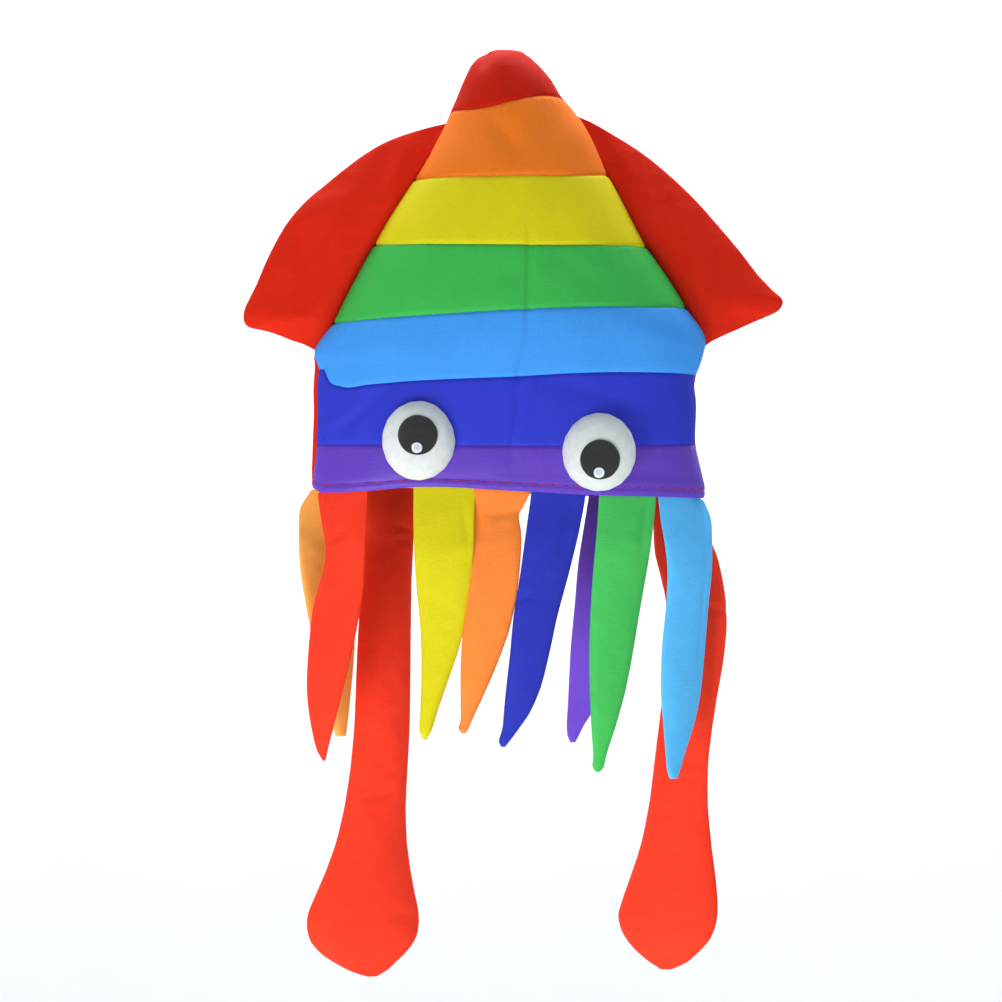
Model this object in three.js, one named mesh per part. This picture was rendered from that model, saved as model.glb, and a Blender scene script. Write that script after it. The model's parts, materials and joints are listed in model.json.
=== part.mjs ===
// A squid hat in rainbow stripes, cut from foam-backed polyester cloth.
// Millimetres, +Z up towards the point of the hat, the face looks along -Y.
// The origin is the middle of the head opening, at the height of the hem.
import * as THREE from 'three';
import { LoftGeometry } from 'three/addons/geometries/LoftGeometry.js';

// Driving sizes of the hat's body.
const hatHeight = 309.5;
const shoulderHeight = 99;
const waistHeight = 55;
const hemHalfWidth = 137.5;
const waistHalfWidth = 132;
const shoulderHalfWidth = 136.5;
const hemHalfDepth = 46;
const shoulderHalfDepth = 57;
const tipLean = -4;
const cloth = 4;

// Heights of the stripe seams, at the left side seam, the middle and the right side seam.
const hemSeam = [0, 0, 0];
const violetSeam = [34, 33, 33];
const royalSeam = [74, 81, 84];
const skySeam = [118, 130, 131];
const greenSeam = [173, 175, 173];
const yellowSeam = [219, 222.5, 222];
const orangeSeam = [268, 275, 278];
const tipSeam = [hatHeight, hatHeight, hatHeight];

// Clearances: between two sewn pieces, between two that lie together, and round a stuffing.
const seamGap = 0.4;
const fitGap = 0.5;
const stuffingGap = 1;

// Inside the hat.
const crownFloor = 178;
const linerThickness = 3;
const crownTopRoom = 16;
const facingHeight = 34;
const facingThickness = 1.5;
const facingLift = 2;

// Fins, hung on the sloping side seams.
const finRootTop = 261;
const finRootBottom = shoulderHeight;
const finHingeOffset = 7.5;
const finBulge = 11;
const finEdge = 1.6;
const finCloth = 3;

// Eyes.
const eyeRadius = 27;
const eyeDepth = 16;
const eyeCloth = 1.5;
const pupilRadius = 13.8;
const pupilThickness = 1;
const highlightRadius = 3.9;
const highlightThickness = 0.8;

// Arms and tentacles, hung from the hem.
const armHalfThickness = 4.5;
const armTipHalfThickness = 2;
const hingeDrop = 5;
const stemHalfThickness = 7;
const paddleHalfThickness = 12;

const colours = {
  red: 0xee402a,
  orange: 0xf08a34,
  amber: 0xfba550,
  yellow: 0xe0d22c,
  green: 0x43b350,
  sky: 0x44a0ee,
  royal: 0x3440c0,
  violet: 0x6a48c8,
  navy: 0x2f38ae,
  purple: 0x5a3cb0,
  white: 0xebeeea,
  black: 0x282c2e,
  lining: 0xd8d6cf,
};

const hat = new THREE.Group();

function addPiece(name, colour, geometry, roughness = 0.8, parent = hat) {
  const material = new THREE.MeshStandardMaterial({ color: colours[colour], roughness, metalness: 0 });
  const piece = new THREE.Mesh(geometry, material);
  piece.name = name;
  parent.add(piece);
  return piece;
}

// A smooth curve through [at, value] points.
function smoothValue(points, at) {
  const last = points.length - 1;
  const slope = (k) => {
    const before = points[Math.max(k - 1, 0)];
    const after = points[Math.min(k + 1, last)];
    return (after[1] - before[1]) / (after[0] - before[0]);
  };
  let i = 0;
  while (i < last - 1 && at > points[i + 1][0]) i += 1;
  const [startAt, start] = points[i];
  const [endAt, end] = points[i + 1];
  const span = endAt - startAt;
  const t = THREE.MathUtils.clamp((at - startAt) / span, 0, 1);
  const blend = t * t * (3 - 2 * t);
  const startPull = t * (1 - t) * (1 - t) * span * slope(i);
  const endPull = t * t * (t - 1) * span * slope(i + 1);
  return start * (1 - blend) + end * blend + startPull + endPull;
}

// Shares of the slope's height, with shares of the shoulder's half width and half depth.
const slopeWidths = [[0.1, 0.938], [0.27, 0.79], [0.47, 0.597], [0.67, 0.418], [0.8, 0.308],
  [0.9, 0.22], [0.967, 0.136], [1, 0.02]];
const slopeDepths = [[0.2, 0.97], [0.47, 0.86], [0.8, 0.56], [0.9, 0.42], [0.967, 0.26], [1, 0.04]];
const slopeHeight = hatHeight - shoulderHeight;
const onSlope = (size) => ([height, share]) => [shoulderHeight + height * slopeHeight, share * size];

const widthProfile = [
  [0, hemHalfWidth],
  [waistHeight, waistHalfWidth],
  [shoulderHeight, shoulderHalfWidth],
  ...slopeWidths.map(onSlope(shoulderHalfWidth)),
];
const depthProfile = [
  [0, hemHalfDepth],
  [shoulderHeight, shoulderHalfDepth],
  ...slopeDepths.map(onSlope(shoulderHalfDepth)),
];

const halfWidth = (z) => smoothValue(widthProfile, z);
const halfDepth = (z) => smoothValue(depthProfile, z);
const leanStart = shoulderHeight + 0.77 * slopeHeight;

function lean(z) {
  const share = Math.max(z - leanStart, 0) / (hatHeight - leanStart);
  return tipLean * share * share;
}

// A point of the hat's outer surface: angle 0 is the right side seam, 90 degrees the middle of the back.
function outerPoint(angle, z) {
  return new THREE.Vector3(lean(z) + halfWidth(z) * Math.cos(angle), halfDepth(z) * Math.sin(angle), z);
}

function outwardAt(angle, z) {
  const step = 0.01;
  const around = outerPoint(angle + step, z).sub(outerPoint(angle - step, z));
  const up = outerPoint(angle, z + step).sub(outerPoint(angle, z - step));
  return around.cross(up).normalize();
}

const hatPoint = (angle, z, depth = 0) => outerPoint(angle, z).addScaledVector(outwardAt(angle, z), -depth);

// Height of a seam at a share across the hat, from -1 at the left to 1 at the right.
function seamHeight([left, middle, right], across) {
  return middle + ((right - left) / 2) * across + ((right + left) / 2 - middle) * across * across;
}

// How finely the body is drawn. Rows crowd together where a piece closes at the hat's point.
const columns = 20;
const rowHeight = 30;
const rowsAtPoint = 3;
const closeIn = (t) => Math.sin((t * Math.PI) / 2);
const rowsFor = (height, pointed) => Math.ceil(height / rowHeight) + (pointed ? rowsAtPoint : 0);

// One cloth panel of the hat's body, between two seams and two angles.
function bodyPanel({ from, to, lower, upper, pointed = false }) {
  const shift = Math.sign(from + to - 2 * Math.PI) * -seamGap / 2;
  const rows = rowsFor(upper[1] - lower[1], pointed);
  const ease = pointed ? closeIn : (t) => t;
  const sections = [];
  for (let column = 0; column <= columns; column += 1) {
    const angle = THREE.MathUtils.lerp(from, to, column / columns);
    const low = seamHeight(lower, Math.cos(angle)) + seamGap / 2;
    const high = seamHeight(upper, Math.cos(angle)) - seamGap / 2;
    const at = (row, depth) => {
      const point = hatPoint(angle, THREE.MathUtils.lerp(low, high, ease(row / rows)), depth);
      point.y += shift;
      return point;
    };
    const outer = [];
    const inner = [];
    for (let row = 0; row <= rows; row += 1) {
      outer.unshift(at(row, 0));
      inner.push(at(row, cloth));
    }
    sections.push([...outer, ...inner]);
  }
  return new LoftGeometry(sections, { capStart: true, capEnd: true });
}

// A point at a height inside the hat, with the outer surface a depth away from it.
function insidePoint(angle, z, depth) {
  const outward = outwardAt(angle, z).setZ(0);
  return outerPoint(angle, z).addScaledVector(outward, -depth / outward.lengthSq());
}

// A solid that fills the hat between two heights, with flat ends.
function insideSolid(heights, depth) {
  const sections = heights.map((z) => {
    const ring = [];
    for (let step = 0; step < 2 * columns; step += 1) {
      ring.push(insidePoint((step / columns) * Math.PI, z, depth));
    }
    return ring;
  });
  return new LoftGeometry(sections, { capStart: true, capEnd: true });
}

// The front: seven stripes sewn edge to edge.
const stripes = [
  { name: 'stripe_violet', colour: 'violet', lower: hemSeam, upper: violetSeam },
  { name: 'stripe_royal', colour: 'royal', lower: violetSeam, upper: royalSeam },
  { name: 'stripe_sky', colour: 'sky', lower: royalSeam, upper: skySeam },
  { name: 'stripe_green', colour: 'green', lower: skySeam, upper: greenSeam },
  { name: 'stripe_yellow', colour: 'yellow', lower: greenSeam, upper: yellowSeam },
  { name: 'stripe_orange', colour: 'orange', lower: yellowSeam, upper: orangeSeam },
  { name: 'tip_front', colour: 'red', lower: orangeSeam, upper: tipSeam, pointed: true },
];
for (const { name, colour, ...seams } of stripes) {
  addPiece(name, colour, bodyPanel({ from: Math.PI, to: 2 * Math.PI, ...seams }));
}

// The back: one red panel from hem to point.
const backPanel = { from: 0, to: Math.PI, lower: hemSeam, upper: tipSeam, pointed: true };
addPiece('back_panel', 'red', bodyPanel(backPanel));

// The stuffed point of the hat, with the liner that closes it above the head.
const insideDepth = cloth + fitGap;
const linerTop = crownFloor + linerThickness;
const fillingBottom = linerTop + fitGap;
const fillingTop = hatHeight - crownTopRoom;
const fillingRows = rowsFor(fillingTop - fillingBottom, true);
const fillingHeights = Array.from({ length: fillingRows + 1 }, (_, row) => (
  THREE.MathUtils.lerp(fillingBottom, fillingTop, closeIn(row / fillingRows))
));
addPiece('crown_liner', 'lining', insideSolid([crownFloor, linerTop], insideDepth));
addPiece('crown_filling', 'white', insideSolid(fillingHeights, cloth + stuffingGap), 1);

// The facing: a band inside the hem, over the ends of the arms.
const facingTop = facingLift + facingHeight;
const facingSections = [];
for (let step = 0; step <= 2 * columns; step += 1) {
  const angle = ((step % (2 * columns)) / columns) * Math.PI;
  facingSections.push([
    hatPoint(angle, facingLift, insideDepth),
    hatPoint(angle, facingLift, insideDepth + facingThickness),
    hatPoint(angle, facingTop, insideDepth + facingThickness),
    hatPoint(angle, facingTop, insideDepth),
  ]);
}
addPiece('hem_facing', 'lining', new LoftGeometry(facingSections));

// A fin: two cloth panels round a filling, on a hinge line beside the side seam. In its own frame
// X runs out from the hinge line, Y towards the back of the hat and Z up along the hinge line.
// An outline gives the fin's reach at shares of its length, and droop lowers its outer corner.
const finRows = [0, 0.03, 0.12, 0.27, 0.45, 0.63, 0.8, 0.93, 1];
const finShares = [0, 0.1, 0.25, 0.42, 0.58, 0.75, 0.9, 1];
const fins = [
  {
    side: -1,
    name: 'fin_left',
    droop: 9,
    reach: [[0, 51], [0.08, 56], [0.3, 58], [0.42, 56], [0.55, 50], [0.68, 42], [0.8, 30], [0.92, 14], [1, 4]],
  },
  {
    side: 1,
    name: 'fin_right',
    droop: -3,
    reach: [[0, 57], [0.04, 58], [0.17, 54], [0.45, 43], [0.67, 31], [0.8, 20.5], [0.92, 9], [1, 4]],
  },
];

function finFrame(side) {
  const bottom = new THREE.Vector3(side * halfWidth(finRootBottom), 0, finRootBottom);
  const top = new THREE.Vector3(side * halfWidth(finRootTop), 0, finRootTop);
  const along = top.clone().sub(bottom);
  const length = along.length();
  along.normalize();
  const out = new THREE.Vector3(side * along.z, 0, -side * along.x);
  const origin = bottom.addScaledVector(out, finHingeOffset);
  return { along, out, origin, length };
}

function finPanels({ side, name, droop, reach }) {
  const { along, out, origin, length } = finFrame(side);
  const point = (row, share, y) => {
    const distance = smoothValue(reach, row) * share;
    const sink = droop * share * (1 - row) * (1 - row);
    return origin.clone()
      .addScaledVector(along, row * length - sink)
      .addScaledVector(out, distance)
      .add(new THREE.Vector3(0, y, 0));
  };
  const thicknessAt = (row, share) => {
    const puff = Math.sin(Math.PI * share) * Math.sqrt(Math.sin(Math.PI * row));
    return finEdge + finBulge * puff;
  };
  const insideAt = (row, share) => Math.max(thicknessAt(row, share) - finCloth, seamGap / 2);
  const turn = (ring, face) => (face * side > 0 ? ring.reverse() : ring);
  for (const [suffix, face] of [['front', -1], ['back', 1]]) {
    const sections = finRows.map((row) => {
      const outer = finShares.map((share) => point(row, share, face * thicknessAt(row, share)));
      const inner = finShares.map((share) => point(row, share, face * insideAt(row, share)));
      return turn([...outer, ...inner.reverse()], face);
    });
    addPiece(`${name}_${suffix}`, 'red', new LoftGeometry(sections, { capStart: true, capEnd: true }));
  }
  const fillShares = finShares.slice(1, -1);
  const fillSections = finRows.slice(2, -2).map((row) => {
    const depth = (share) => Math.max(insideAt(row, share) - stuffingGap, seamGap / 2);
    const front = fillShares.map((share) => point(row, share, -depth(share)));
    const back = fillShares.map((share) => point(row, share, depth(share)));
    return turn([...front, ...back.reverse()], -1);
  });
  addPiece(`${name}_filling`, 'white', new LoftGeometry(fillSections, { capStart: true, capEnd: true }), 1);
}
fins.forEach(finPanels);

// An eye: a stuffed felt dome with a felt pupil and a highlight, sewn flat against the hat.
// The dome, pupil and highlight are caps of spheres with one centre.
// Lift is the hem's height below an eye's lower edge; wide and high are shares of the eye's radius.
const eyes = [
  { name: 'eye_left', across: -64, lift: 9, wide: 0.945, high: 1.037, look: [0.5, 3.7], shine: -8.6 },
  { name: 'eye_right', across: 62.3, lift: 1.5, wide: 0.963, high: 1.019, look: [0.8, -5.4], shine: -9 },
];
const domeRadius = (eyeRadius * eyeRadius + eyeDepth * eyeDepth) / (2 * eyeDepth);

// The profile of a sphere's cap, from its pole on the Y axis to its edge.
function capProfile(radius, edgeAngle, steps) {
  return Array.from({ length: steps + 1 }, (_, step) => {
    const angle = (edgeAngle * step) / steps;
    return new THREE.Vector2(radius * Math.sin(angle), radius * Math.cos(angle));
  });
}

const eyeSegments = 18;
const eyeSteps = 4;
const discSteps = 2;

// A disc of felt that follows a sphere.
function curvedDisc(sphereRadius, thickness, discRadius) {
  const edgeAngle = Math.asin(discRadius / (sphereRadius + thickness));
  const inner = capProfile(sphereRadius, edgeAngle, discSteps);
  const outer = capProfile(sphereRadius + thickness, edgeAngle, discSteps);
  return new THREE.LatheGeometry([...inner, ...outer.reverse()], eyeSegments);
}

function addEye({ name, across, lift, wide, high, look, shine }) {
  const height = lift + eyeRadius * high;
  const angle = 2 * Math.PI - Math.acos(across / halfWidth(height));
  const seat = outerPoint(angle, height);
  const outward = outwardAt(angle, height);
  const group = new THREE.Group();
  const faceTurn = new THREE.Quaternion();
  const sideways = new THREE.Vector3(0, 0, 1).cross(outward).normalize();
  const upward = outward.clone().cross(sideways);
  faceTurn.setFromRotationMatrix(new THREE.Matrix4().makeBasis(sideways, outward, upward.negate()));
  group.quaternion.copy(faceTurn);

  // The flat back stands clear of the hat's curved surface all over its area.
  let proud = 0;
  const probes = 24;
  for (let probe = 0; probe < probes; probe += 1) {
    const around = (probe / probes) * 2 * Math.PI;
    const edgeHeight = height + eyeRadius * high * Math.sin(around);
    const edgeAcross = across + eyeRadius * wide * Math.cos(around);
    const near = outerPoint(2 * Math.PI - Math.acos(edgeAcross / halfWidth(edgeHeight)), edgeHeight);
    proud = Math.max(proud, near.sub(seat).dot(outward));
  }
  const centreBehind = domeRadius - eyeDepth - proud - fitGap;
  group.position.copy(seat).addScaledVector(outward, -centreBehind);
  group.scale.set(wide, 1, high);
  hat.add(group);

  const base = domeRadius - eyeDepth;
  const domeProfile = (radius) => capProfile(radius, Math.acos(base / radius), eyeSteps);
  const coverInside = domeProfile(domeRadius - eyeCloth);
  const cover = new THREE.LatheGeometry([...coverInside, ...domeProfile(domeRadius).reverse()], eyeSegments);
  addPiece(`${name}_cover`, 'white', cover, 0.9, group);
  const fillingProfile = domeProfile(domeRadius - eyeCloth - fitGap).reverse();
  const filling = new THREE.LatheGeometry([new THREE.Vector2(0, base), ...fillingProfile], eyeSegments);
  addPiece(`${name}_filling`, 'white', filling, 1, group);

  const pupilSphere = domeRadius + seamGap;
  const pupilDisc = curvedDisc(pupilSphere, pupilThickness, pupilRadius);
  const pupil = addPiece(`${name}_pupil`, 'black', pupilDisc, 0.95, group);
  const tiltSide = -Math.asin(look[0] / pupilSphere);
  const tiltUp = -Math.asin(look[1] / pupilSphere);
  pupil.rotation.set(tiltUp, 0, tiltSide);

  const shineSphere = pupilSphere + pupilThickness + seamGap;
  const shineDisc = curvedDisc(shineSphere, highlightThickness, highlightRadius);
  const highlight = addPiece(`${name}_highlight`, 'white', shineDisc, 0.9, group);
  const shineUp = -Math.asin((look[1] + shine) / shineSphere);
  highlight.rotation.set(shineUp, 0, tiltSide);
}
eyes.forEach(addEye);

// Arms and tentacles. Each hangs from the middle of the hem's cloth, in its front or back half.
// An outline holds [drop below the hem, sideways drift, width seen from the front]. Across, drift
// and width are in hundredths of the hem's half width, so the arms share whatever room the hem has.
const hemShare = hemHalfWidth / 100;
const arms = [
  { name: 'arm_red', colour: 'red', half: 'front', across: -85.1,
    outline: [[0, 0, 24], [75, -3.6, 24.7], [110, -6.5, 24.7], [140, -9.5, 18.9], [160, -10.2, 13.8], [190, -9.8, 2.9]] },
  { name: 'arm_yellow', colour: 'yellow', half: 'front', across: -33.5,
    outline: [[0, 0, 27.6], [75, -1.5, 26.2], [96, -2.2, 21.1], [138, -6.5, 11.6], [173, -10.2, 2.9]] },
  { name: 'arm_orange', colour: 'orange', half: 'front', across: -4.4,
    outline: [[0, 0, 26.9], [54, -3.6, 22.5], [96, -8.7, 21.8], [117, -11.6, 18.9], [138, -15.3, 13.1], [168, -19.6, 2.9]] },
  { name: 'arm_navy', colour: 'navy', half: 'front', across: 24.4,
    outline: [[0, 0, 26.9], [54, -6.5, 24.7], [96, -12.7, 20.4], [138, -18.9, 17.5], [159, -23.3, 10.9], [176, -26.9, 3.6]] },
  { name: 'arm_green', colour: 'green', half: 'front', across: 58.9,
    outline: [[0, 0, 27.6], [54, -4, 26.9], [96, -6.5, 24.7], [138, -10.2, 18.9], [180, -13.8, 8.7], [195, -14.5, 3.6]] },
  { name: 'arm_sky', colour: 'sky', half: 'front', across: 88.7,
    outline: [[0, 0, 24], [54, 1.5, 22.5], [106, 0, 22.5], [148, -2.2, 18.9], [180, -5.1, 9.5], [201, -5.8, 2.9]] },
  { name: 'arm_amber', colour: 'amber', half: 'back', across: -93.1,
    outline: [[0, 0, 17.5], [75, 2.2, 18.2], [130, 5.1, 11.6], [170, 7.3, 2.9]] },
  { name: 'arm_purple', colour: 'purple', half: 'back', across: 53.5,
    outline: [[0, 0, 27.6], [54, -5.1, 27.6], [96, -8.7, 26.9], [138, -14.5, 18.9], [159, -18.2, 13.1], [175, -21.1, 2.9]] },
];

const tentacles = [
  { name: 'tentacle_left', colour: 'red', half: 'back', across: -61.8,
    outline: [[0, 0, 23.3], [117, -2.9, 26.9], [201, -5.8, 29.1], [243, -8.7, 35.6], [264, -10.9, 41.5], [288, -12.7, 55.3],
      [306, -12.4, 55.3], [318, -11.6, 48], [336, -9.5, 5.8]] },
  { name: 'tentacle_right', colour: 'red', half: 'back', across: 85.1,
    outline: [[0, 0, 22.5], [80, 9.5, 23.3], [145, 6.5, 24.7], [201, 0.7, 26.2], [243, -2.2, 32.7], [264, -3.6, 40],
      [292, -5.8, 48], [306, -5.8, 45.1], [318, -6.5, 34.9], [332, -8, 5.8]] },
];

// Shares of the half width where an arm's cross-section is drawn, and its thickness there.
const armSpread = [-1, -0.7, 0, 0.7, 1];
const armRound = [0.45, 0.85, 1, 0.85, 0.45];

function armFrame({ half, across }) {
  const middleWidth = hemHalfWidth - cloth / 2;
  const middleDepth = hemHalfDepth - cloth / 2;
  const quarter = Math.acos((across * hemShare) / middleWidth);
  const angle = half === 'front' ? 2 * Math.PI - quarter : quarter;
  const tangentX = -middleWidth * Math.sin(angle);
  const tangentY = middleDepth * Math.cos(angle);
  const along = new THREE.Vector3(tangentX, tangentY, 0).normalize();
  const out = new THREE.Vector3(along.y, -along.x, 0);
  const root = new THREE.Vector3(across * hemShare, middleDepth * Math.sin(angle), 0);
  return { along, out, root };
}

// Depths below the hem where sections are drawn: close together over the rounded top.
function armDrops(outline, steps) {
  const tip = outline[outline.length - 1][0];
  const top = [0.1, 0.35, 0.7].map((share) => hingeDrop - armHalfThickness + armHalfThickness * share);
  const drops = [...top, hingeDrop];
  for (let step = 1; step <= steps; step += 1) {
    const share = step / steps;
    drops.push(THREE.MathUtils.lerp(hingeDrop, tip, 1 - (1 - share) ** 1.3));
  }
  return drops;
}

// Half thickness at a drop: round at the top about the hinge, thinner at the tip.
function armThickness(drop, tip, middle) {
  const above = hingeDrop - drop;
  if (above > 0) return Math.sqrt(armHalfThickness ** 2 - above ** 2);
  return middle(drop) * (1 - (drop / tip) ** 8) + armTipHalfThickness * (drop / tip) ** 8;
}

function addArm(arm, { steps, middle, filled }) {
  const { along, out, root } = armFrame(arm);
  const { outline, name, colour } = arm;
  const tip = outline[outline.length - 1][0];
  const drift = outline.map(([drop, sideways]) => [drop, (sideways * hemShare) / along.x]);
  const width = outline.map(([drop, , seen]) => [drop, (seen * hemShare) / Math.abs(along.x)]);
  const drops = armDrops(outline, steps).reverse();
  const point = (drop, share, outwards) => root.clone()
    .addScaledVector(along, smoothValue(drift, drop) + (share * smoothValue(width, drop)) / 2)
    .addScaledVector(out, outwards)
    .add(new THREE.Vector3(0, 0, -drop));
  const outerAt = (drop, index) => armThickness(drop, tip, middle) * armRound[index];
  const innerAt = (drop, index) => Math.max(outerAt(drop, index) - cloth, seamGap / 2);
  const lastIndex = armSpread.length - 1;
  for (const [suffix, face] of [['outer', 1], ['inner', -1]]) {
    const sections = drops.map((drop) => {
      const outside = armSpread.map((share, k) => point(drop, face * share, face * outerAt(drop, k)));
      const inside = armSpread.map((share, k) => {
        const depth = k === 0 || k === lastIndex ? seamGap / 2 : innerAt(drop, k);
        return point(drop, face * share, face * depth);
      });
      return [...outside, ...inside.reverse()];
    });
    addPiece(`${name}_${suffix}`, colour, new LoftGeometry(sections, { capStart: true, capEnd: true }));
  }
  if (!filled) return;
  const inner = armSpread.slice(1, -1).map((share, k) => ({ share, index: k + 1 }));
  const room = (drop) => innerAt(drop, 1) - stuffingGap;
  const fillSections = drops.filter((drop) => drop > hingeDrop && room(drop) > seamGap).map((drop) => {
    const front = inner.map(({ share, index }) => point(drop, share, innerAt(drop, index) - stuffingGap));
    const back = inner.map(({ share, index }) => point(drop, share, stuffingGap - innerAt(drop, index)));
    return [...front, ...back.reverse()];
  });
  addPiece(`${name}_filling`, 'white', new LoftGeometry(fillSections, { capStart: true, capEnd: true }), 1);
}

for (const arm of arms) {
  addArm(arm, { steps: 5, middle: () => armHalfThickness, filled: false });
}

// A tentacle is a thin stuffed stem that widens into a thick paddle.
for (const tentacle of tentacles) {
  const tip = tentacle.outline[tentacle.outline.length - 1][0];
  const stuffing = [[0, armHalfThickness], [0.12, stemHalfThickness], [0.65, stemHalfThickness],
    [0.87, paddleHalfThickness], [0.96, paddleHalfThickness * 0.7], [1, armTipHalfThickness]];
  const middle = (drop) => smoothValue(stuffing, drop / tip);
  addArm(tentacle, { steps: 12, middle, filled: true });
}

export default hat;
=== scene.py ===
import json
import math

import bpy
import numpy as np
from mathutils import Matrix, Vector, noise


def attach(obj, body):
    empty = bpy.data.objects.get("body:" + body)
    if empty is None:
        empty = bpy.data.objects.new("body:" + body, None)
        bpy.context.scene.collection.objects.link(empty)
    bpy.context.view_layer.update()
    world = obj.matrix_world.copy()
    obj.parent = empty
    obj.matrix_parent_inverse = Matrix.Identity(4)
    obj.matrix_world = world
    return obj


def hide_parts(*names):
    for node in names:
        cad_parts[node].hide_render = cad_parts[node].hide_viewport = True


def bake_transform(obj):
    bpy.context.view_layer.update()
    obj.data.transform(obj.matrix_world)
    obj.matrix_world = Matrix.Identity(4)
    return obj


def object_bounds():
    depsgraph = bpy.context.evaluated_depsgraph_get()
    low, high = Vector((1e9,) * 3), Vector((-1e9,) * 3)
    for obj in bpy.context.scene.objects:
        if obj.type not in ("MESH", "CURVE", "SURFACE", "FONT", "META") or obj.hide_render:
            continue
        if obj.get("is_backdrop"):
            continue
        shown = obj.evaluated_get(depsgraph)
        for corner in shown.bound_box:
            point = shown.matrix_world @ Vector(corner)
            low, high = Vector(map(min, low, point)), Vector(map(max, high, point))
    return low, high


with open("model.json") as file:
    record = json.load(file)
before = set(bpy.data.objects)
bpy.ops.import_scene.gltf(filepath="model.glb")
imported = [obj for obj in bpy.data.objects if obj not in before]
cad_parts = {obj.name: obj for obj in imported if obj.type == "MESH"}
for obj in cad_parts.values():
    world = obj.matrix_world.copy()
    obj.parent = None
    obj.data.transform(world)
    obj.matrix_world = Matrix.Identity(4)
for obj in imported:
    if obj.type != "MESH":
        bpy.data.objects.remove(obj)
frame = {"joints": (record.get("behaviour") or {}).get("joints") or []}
cad_low, cad_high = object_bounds()


# ---------------------------------------------------------------- studio
# A round pale room whose floor curves up into its wall, soft lights, and a level camera in front.
# The hat is held up by its opening, so its tentacles hang clear of the floor.
MM = 0.001
FLOOR_DROP = 1.9        # metres from the lowest point of the hat
ROOM_RADIUS, ROOM_CURVE, ROOM_HEIGHT = 3.2, 0.9, 8.0
ROOM_SIDES = 64
CURVE_STEPS = 16        # from the floor up to the wall


def linear(hex_colour):
    """An sRGB hex colour as the linear values that a shader takes."""
    channels = [int(hex_colour[i:i + 2], 16) / 255 for i in (0, 2, 4)]
    return tuple(c / 12.92 if c <= 0.04045 else ((c + 0.055) / 1.055) ** 2.4 for c in channels) + (1.0,)


def add_node(tree, kind, settings=None, inputs=None, links=None):
    """Adds a node, sets its settings and inputs, and links {its input: (other node, its output)}."""
    node = tree.nodes.new(kind)
    for name, value in (settings or {}).items():
        setattr(node, name, value)
    for name, value in (inputs or {}).items():
        node.inputs[name].default_value = value
    for name, (source, output) in (links or {}).items():
        tree.links.new(source.outputs[output], node.inputs[name])
    return node


def new_material(name):
    """An empty node material and its tree."""
    material = bpy.data.materials.new(name)
    material.use_nodes = True
    material.node_tree.nodes.clear()
    return material, material.node_tree


def mesh_piece(name, points, faces, materials, face_materials=None, scale=MM):
    """A smooth-shaded mesh object from points in millimetres."""
    mesh = bpy.data.meshes.new(name)
    mesh.from_pydata((np.asarray(points, float).reshape(-1, 3) * scale).tolist(), [], faces)
    for material in materials:
        mesh.materials.append(material)
    if face_materials is not None:
        mesh.polygons.foreach_set("material_index", np.asarray(face_materials, np.int32))
    mesh.polygons.foreach_set("use_smooth", np.ones(len(mesh.polygons), bool))
    mesh.update()
    piece = bpy.data.objects.new(name, mesh)
    bpy.context.scene.collection.objects.link(piece)
    return piece


def ring_faces(rings, size, start=0, flip=False):
    """Quads between closed rings of points that follow each other."""
    faces = []
    for r in range(rings - 1):
        for c in range(size):
            a, b = start + r * size + c, start + r * size + (c + 1) % size
            faces.append((a, a + size, b + size, b) if flip else (a, b, b + size, a + size))
    return faces


def painted_card():
    """Matt painted card: even, with a trace of mottling."""
    material, tree = new_material("matt_white_card")
    place = add_node(tree, "ShaderNodeTexCoord")
    mottle = add_node(tree, "ShaderNodeTexNoise", inputs={"Scale": 3.0, "Detail": 2.0},
                      links={"Vector": (place, "Object")})
    colour = add_node(tree, "ShaderNodeMix", {"data_type": "RGBA"},
                      {"A": linear("d6d9dc"), "B": linear("dcdee1")}, {"Factor": (mottle, "Fac")})
    shader = add_node(tree, "ShaderNodeBsdfPrincipled", inputs={"Roughness": 0.9},
                      links={"Base Color": (colour, "Result")})
    add_node(tree, "ShaderNodeOutputMaterial", links={"Surface": (shader, "BSDF")})
    return material


floor_height = cad_low.z - FLOOR_DROP
profile = [(0.0, 0.0), (0.8, 0.0), (1.6, 0.0)]
for step in range(CURVE_STEPS + 1):
    lift = step / CURVE_STEPS * math.pi / 2
    profile.append((ROOM_RADIUS - ROOM_CURVE * (1 - math.sin(lift)), ROOM_CURVE * (1 - math.cos(lift))))
profile.append((ROOM_RADIUS, ROOM_HEIGHT))
room_points = [(r * math.cos(k * 2 * math.pi / ROOM_SIDES), r * math.sin(k * 2 * math.pi / ROOM_SIDES),
                floor_height + up) for r, up in profile for k in range(ROOM_SIDES)]
room_faces = ring_faces(len(profile), ROOM_SIDES)
backdrop = mesh_piece("backdrop", room_points, room_faces, [painted_card()], scale=1)
backdrop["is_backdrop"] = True

CAMERA_CENTRE = (-6.3 * MM, -5.6 * MM)
CAMERA_LENS = 100
CAMERA_DISTANCE = 1.95
camera = bpy.data.objects.new("camera", bpy.data.cameras.new("camera"))
camera.data.lens = CAMERA_LENS
camera.data.sensor_width = 36
camera.location = (CAMERA_CENTRE[0], -CAMERA_DISTANCE, CAMERA_CENTRE[1])
camera.rotation_euler = (math.pi / 2, 0, 0)
bpy.context.scene.collection.objects.link(camera)
bpy.context.scene.camera = camera


def soft_light(name, place, aim, size, watts, colour):
    """A square softbox that faces a point."""
    light = bpy.data.objects.new(name, bpy.data.lights.new(name, "AREA"))
    light.data.size = size
    light.data.energy = watts
    light.data.color = colour
    light.location = place
    light.rotation_euler = (Vector(aim) - Vector(place)).to_track_quat("-Z", "Y").to_euler()
    bpy.context.scene.collection.objects.link(light)


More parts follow.
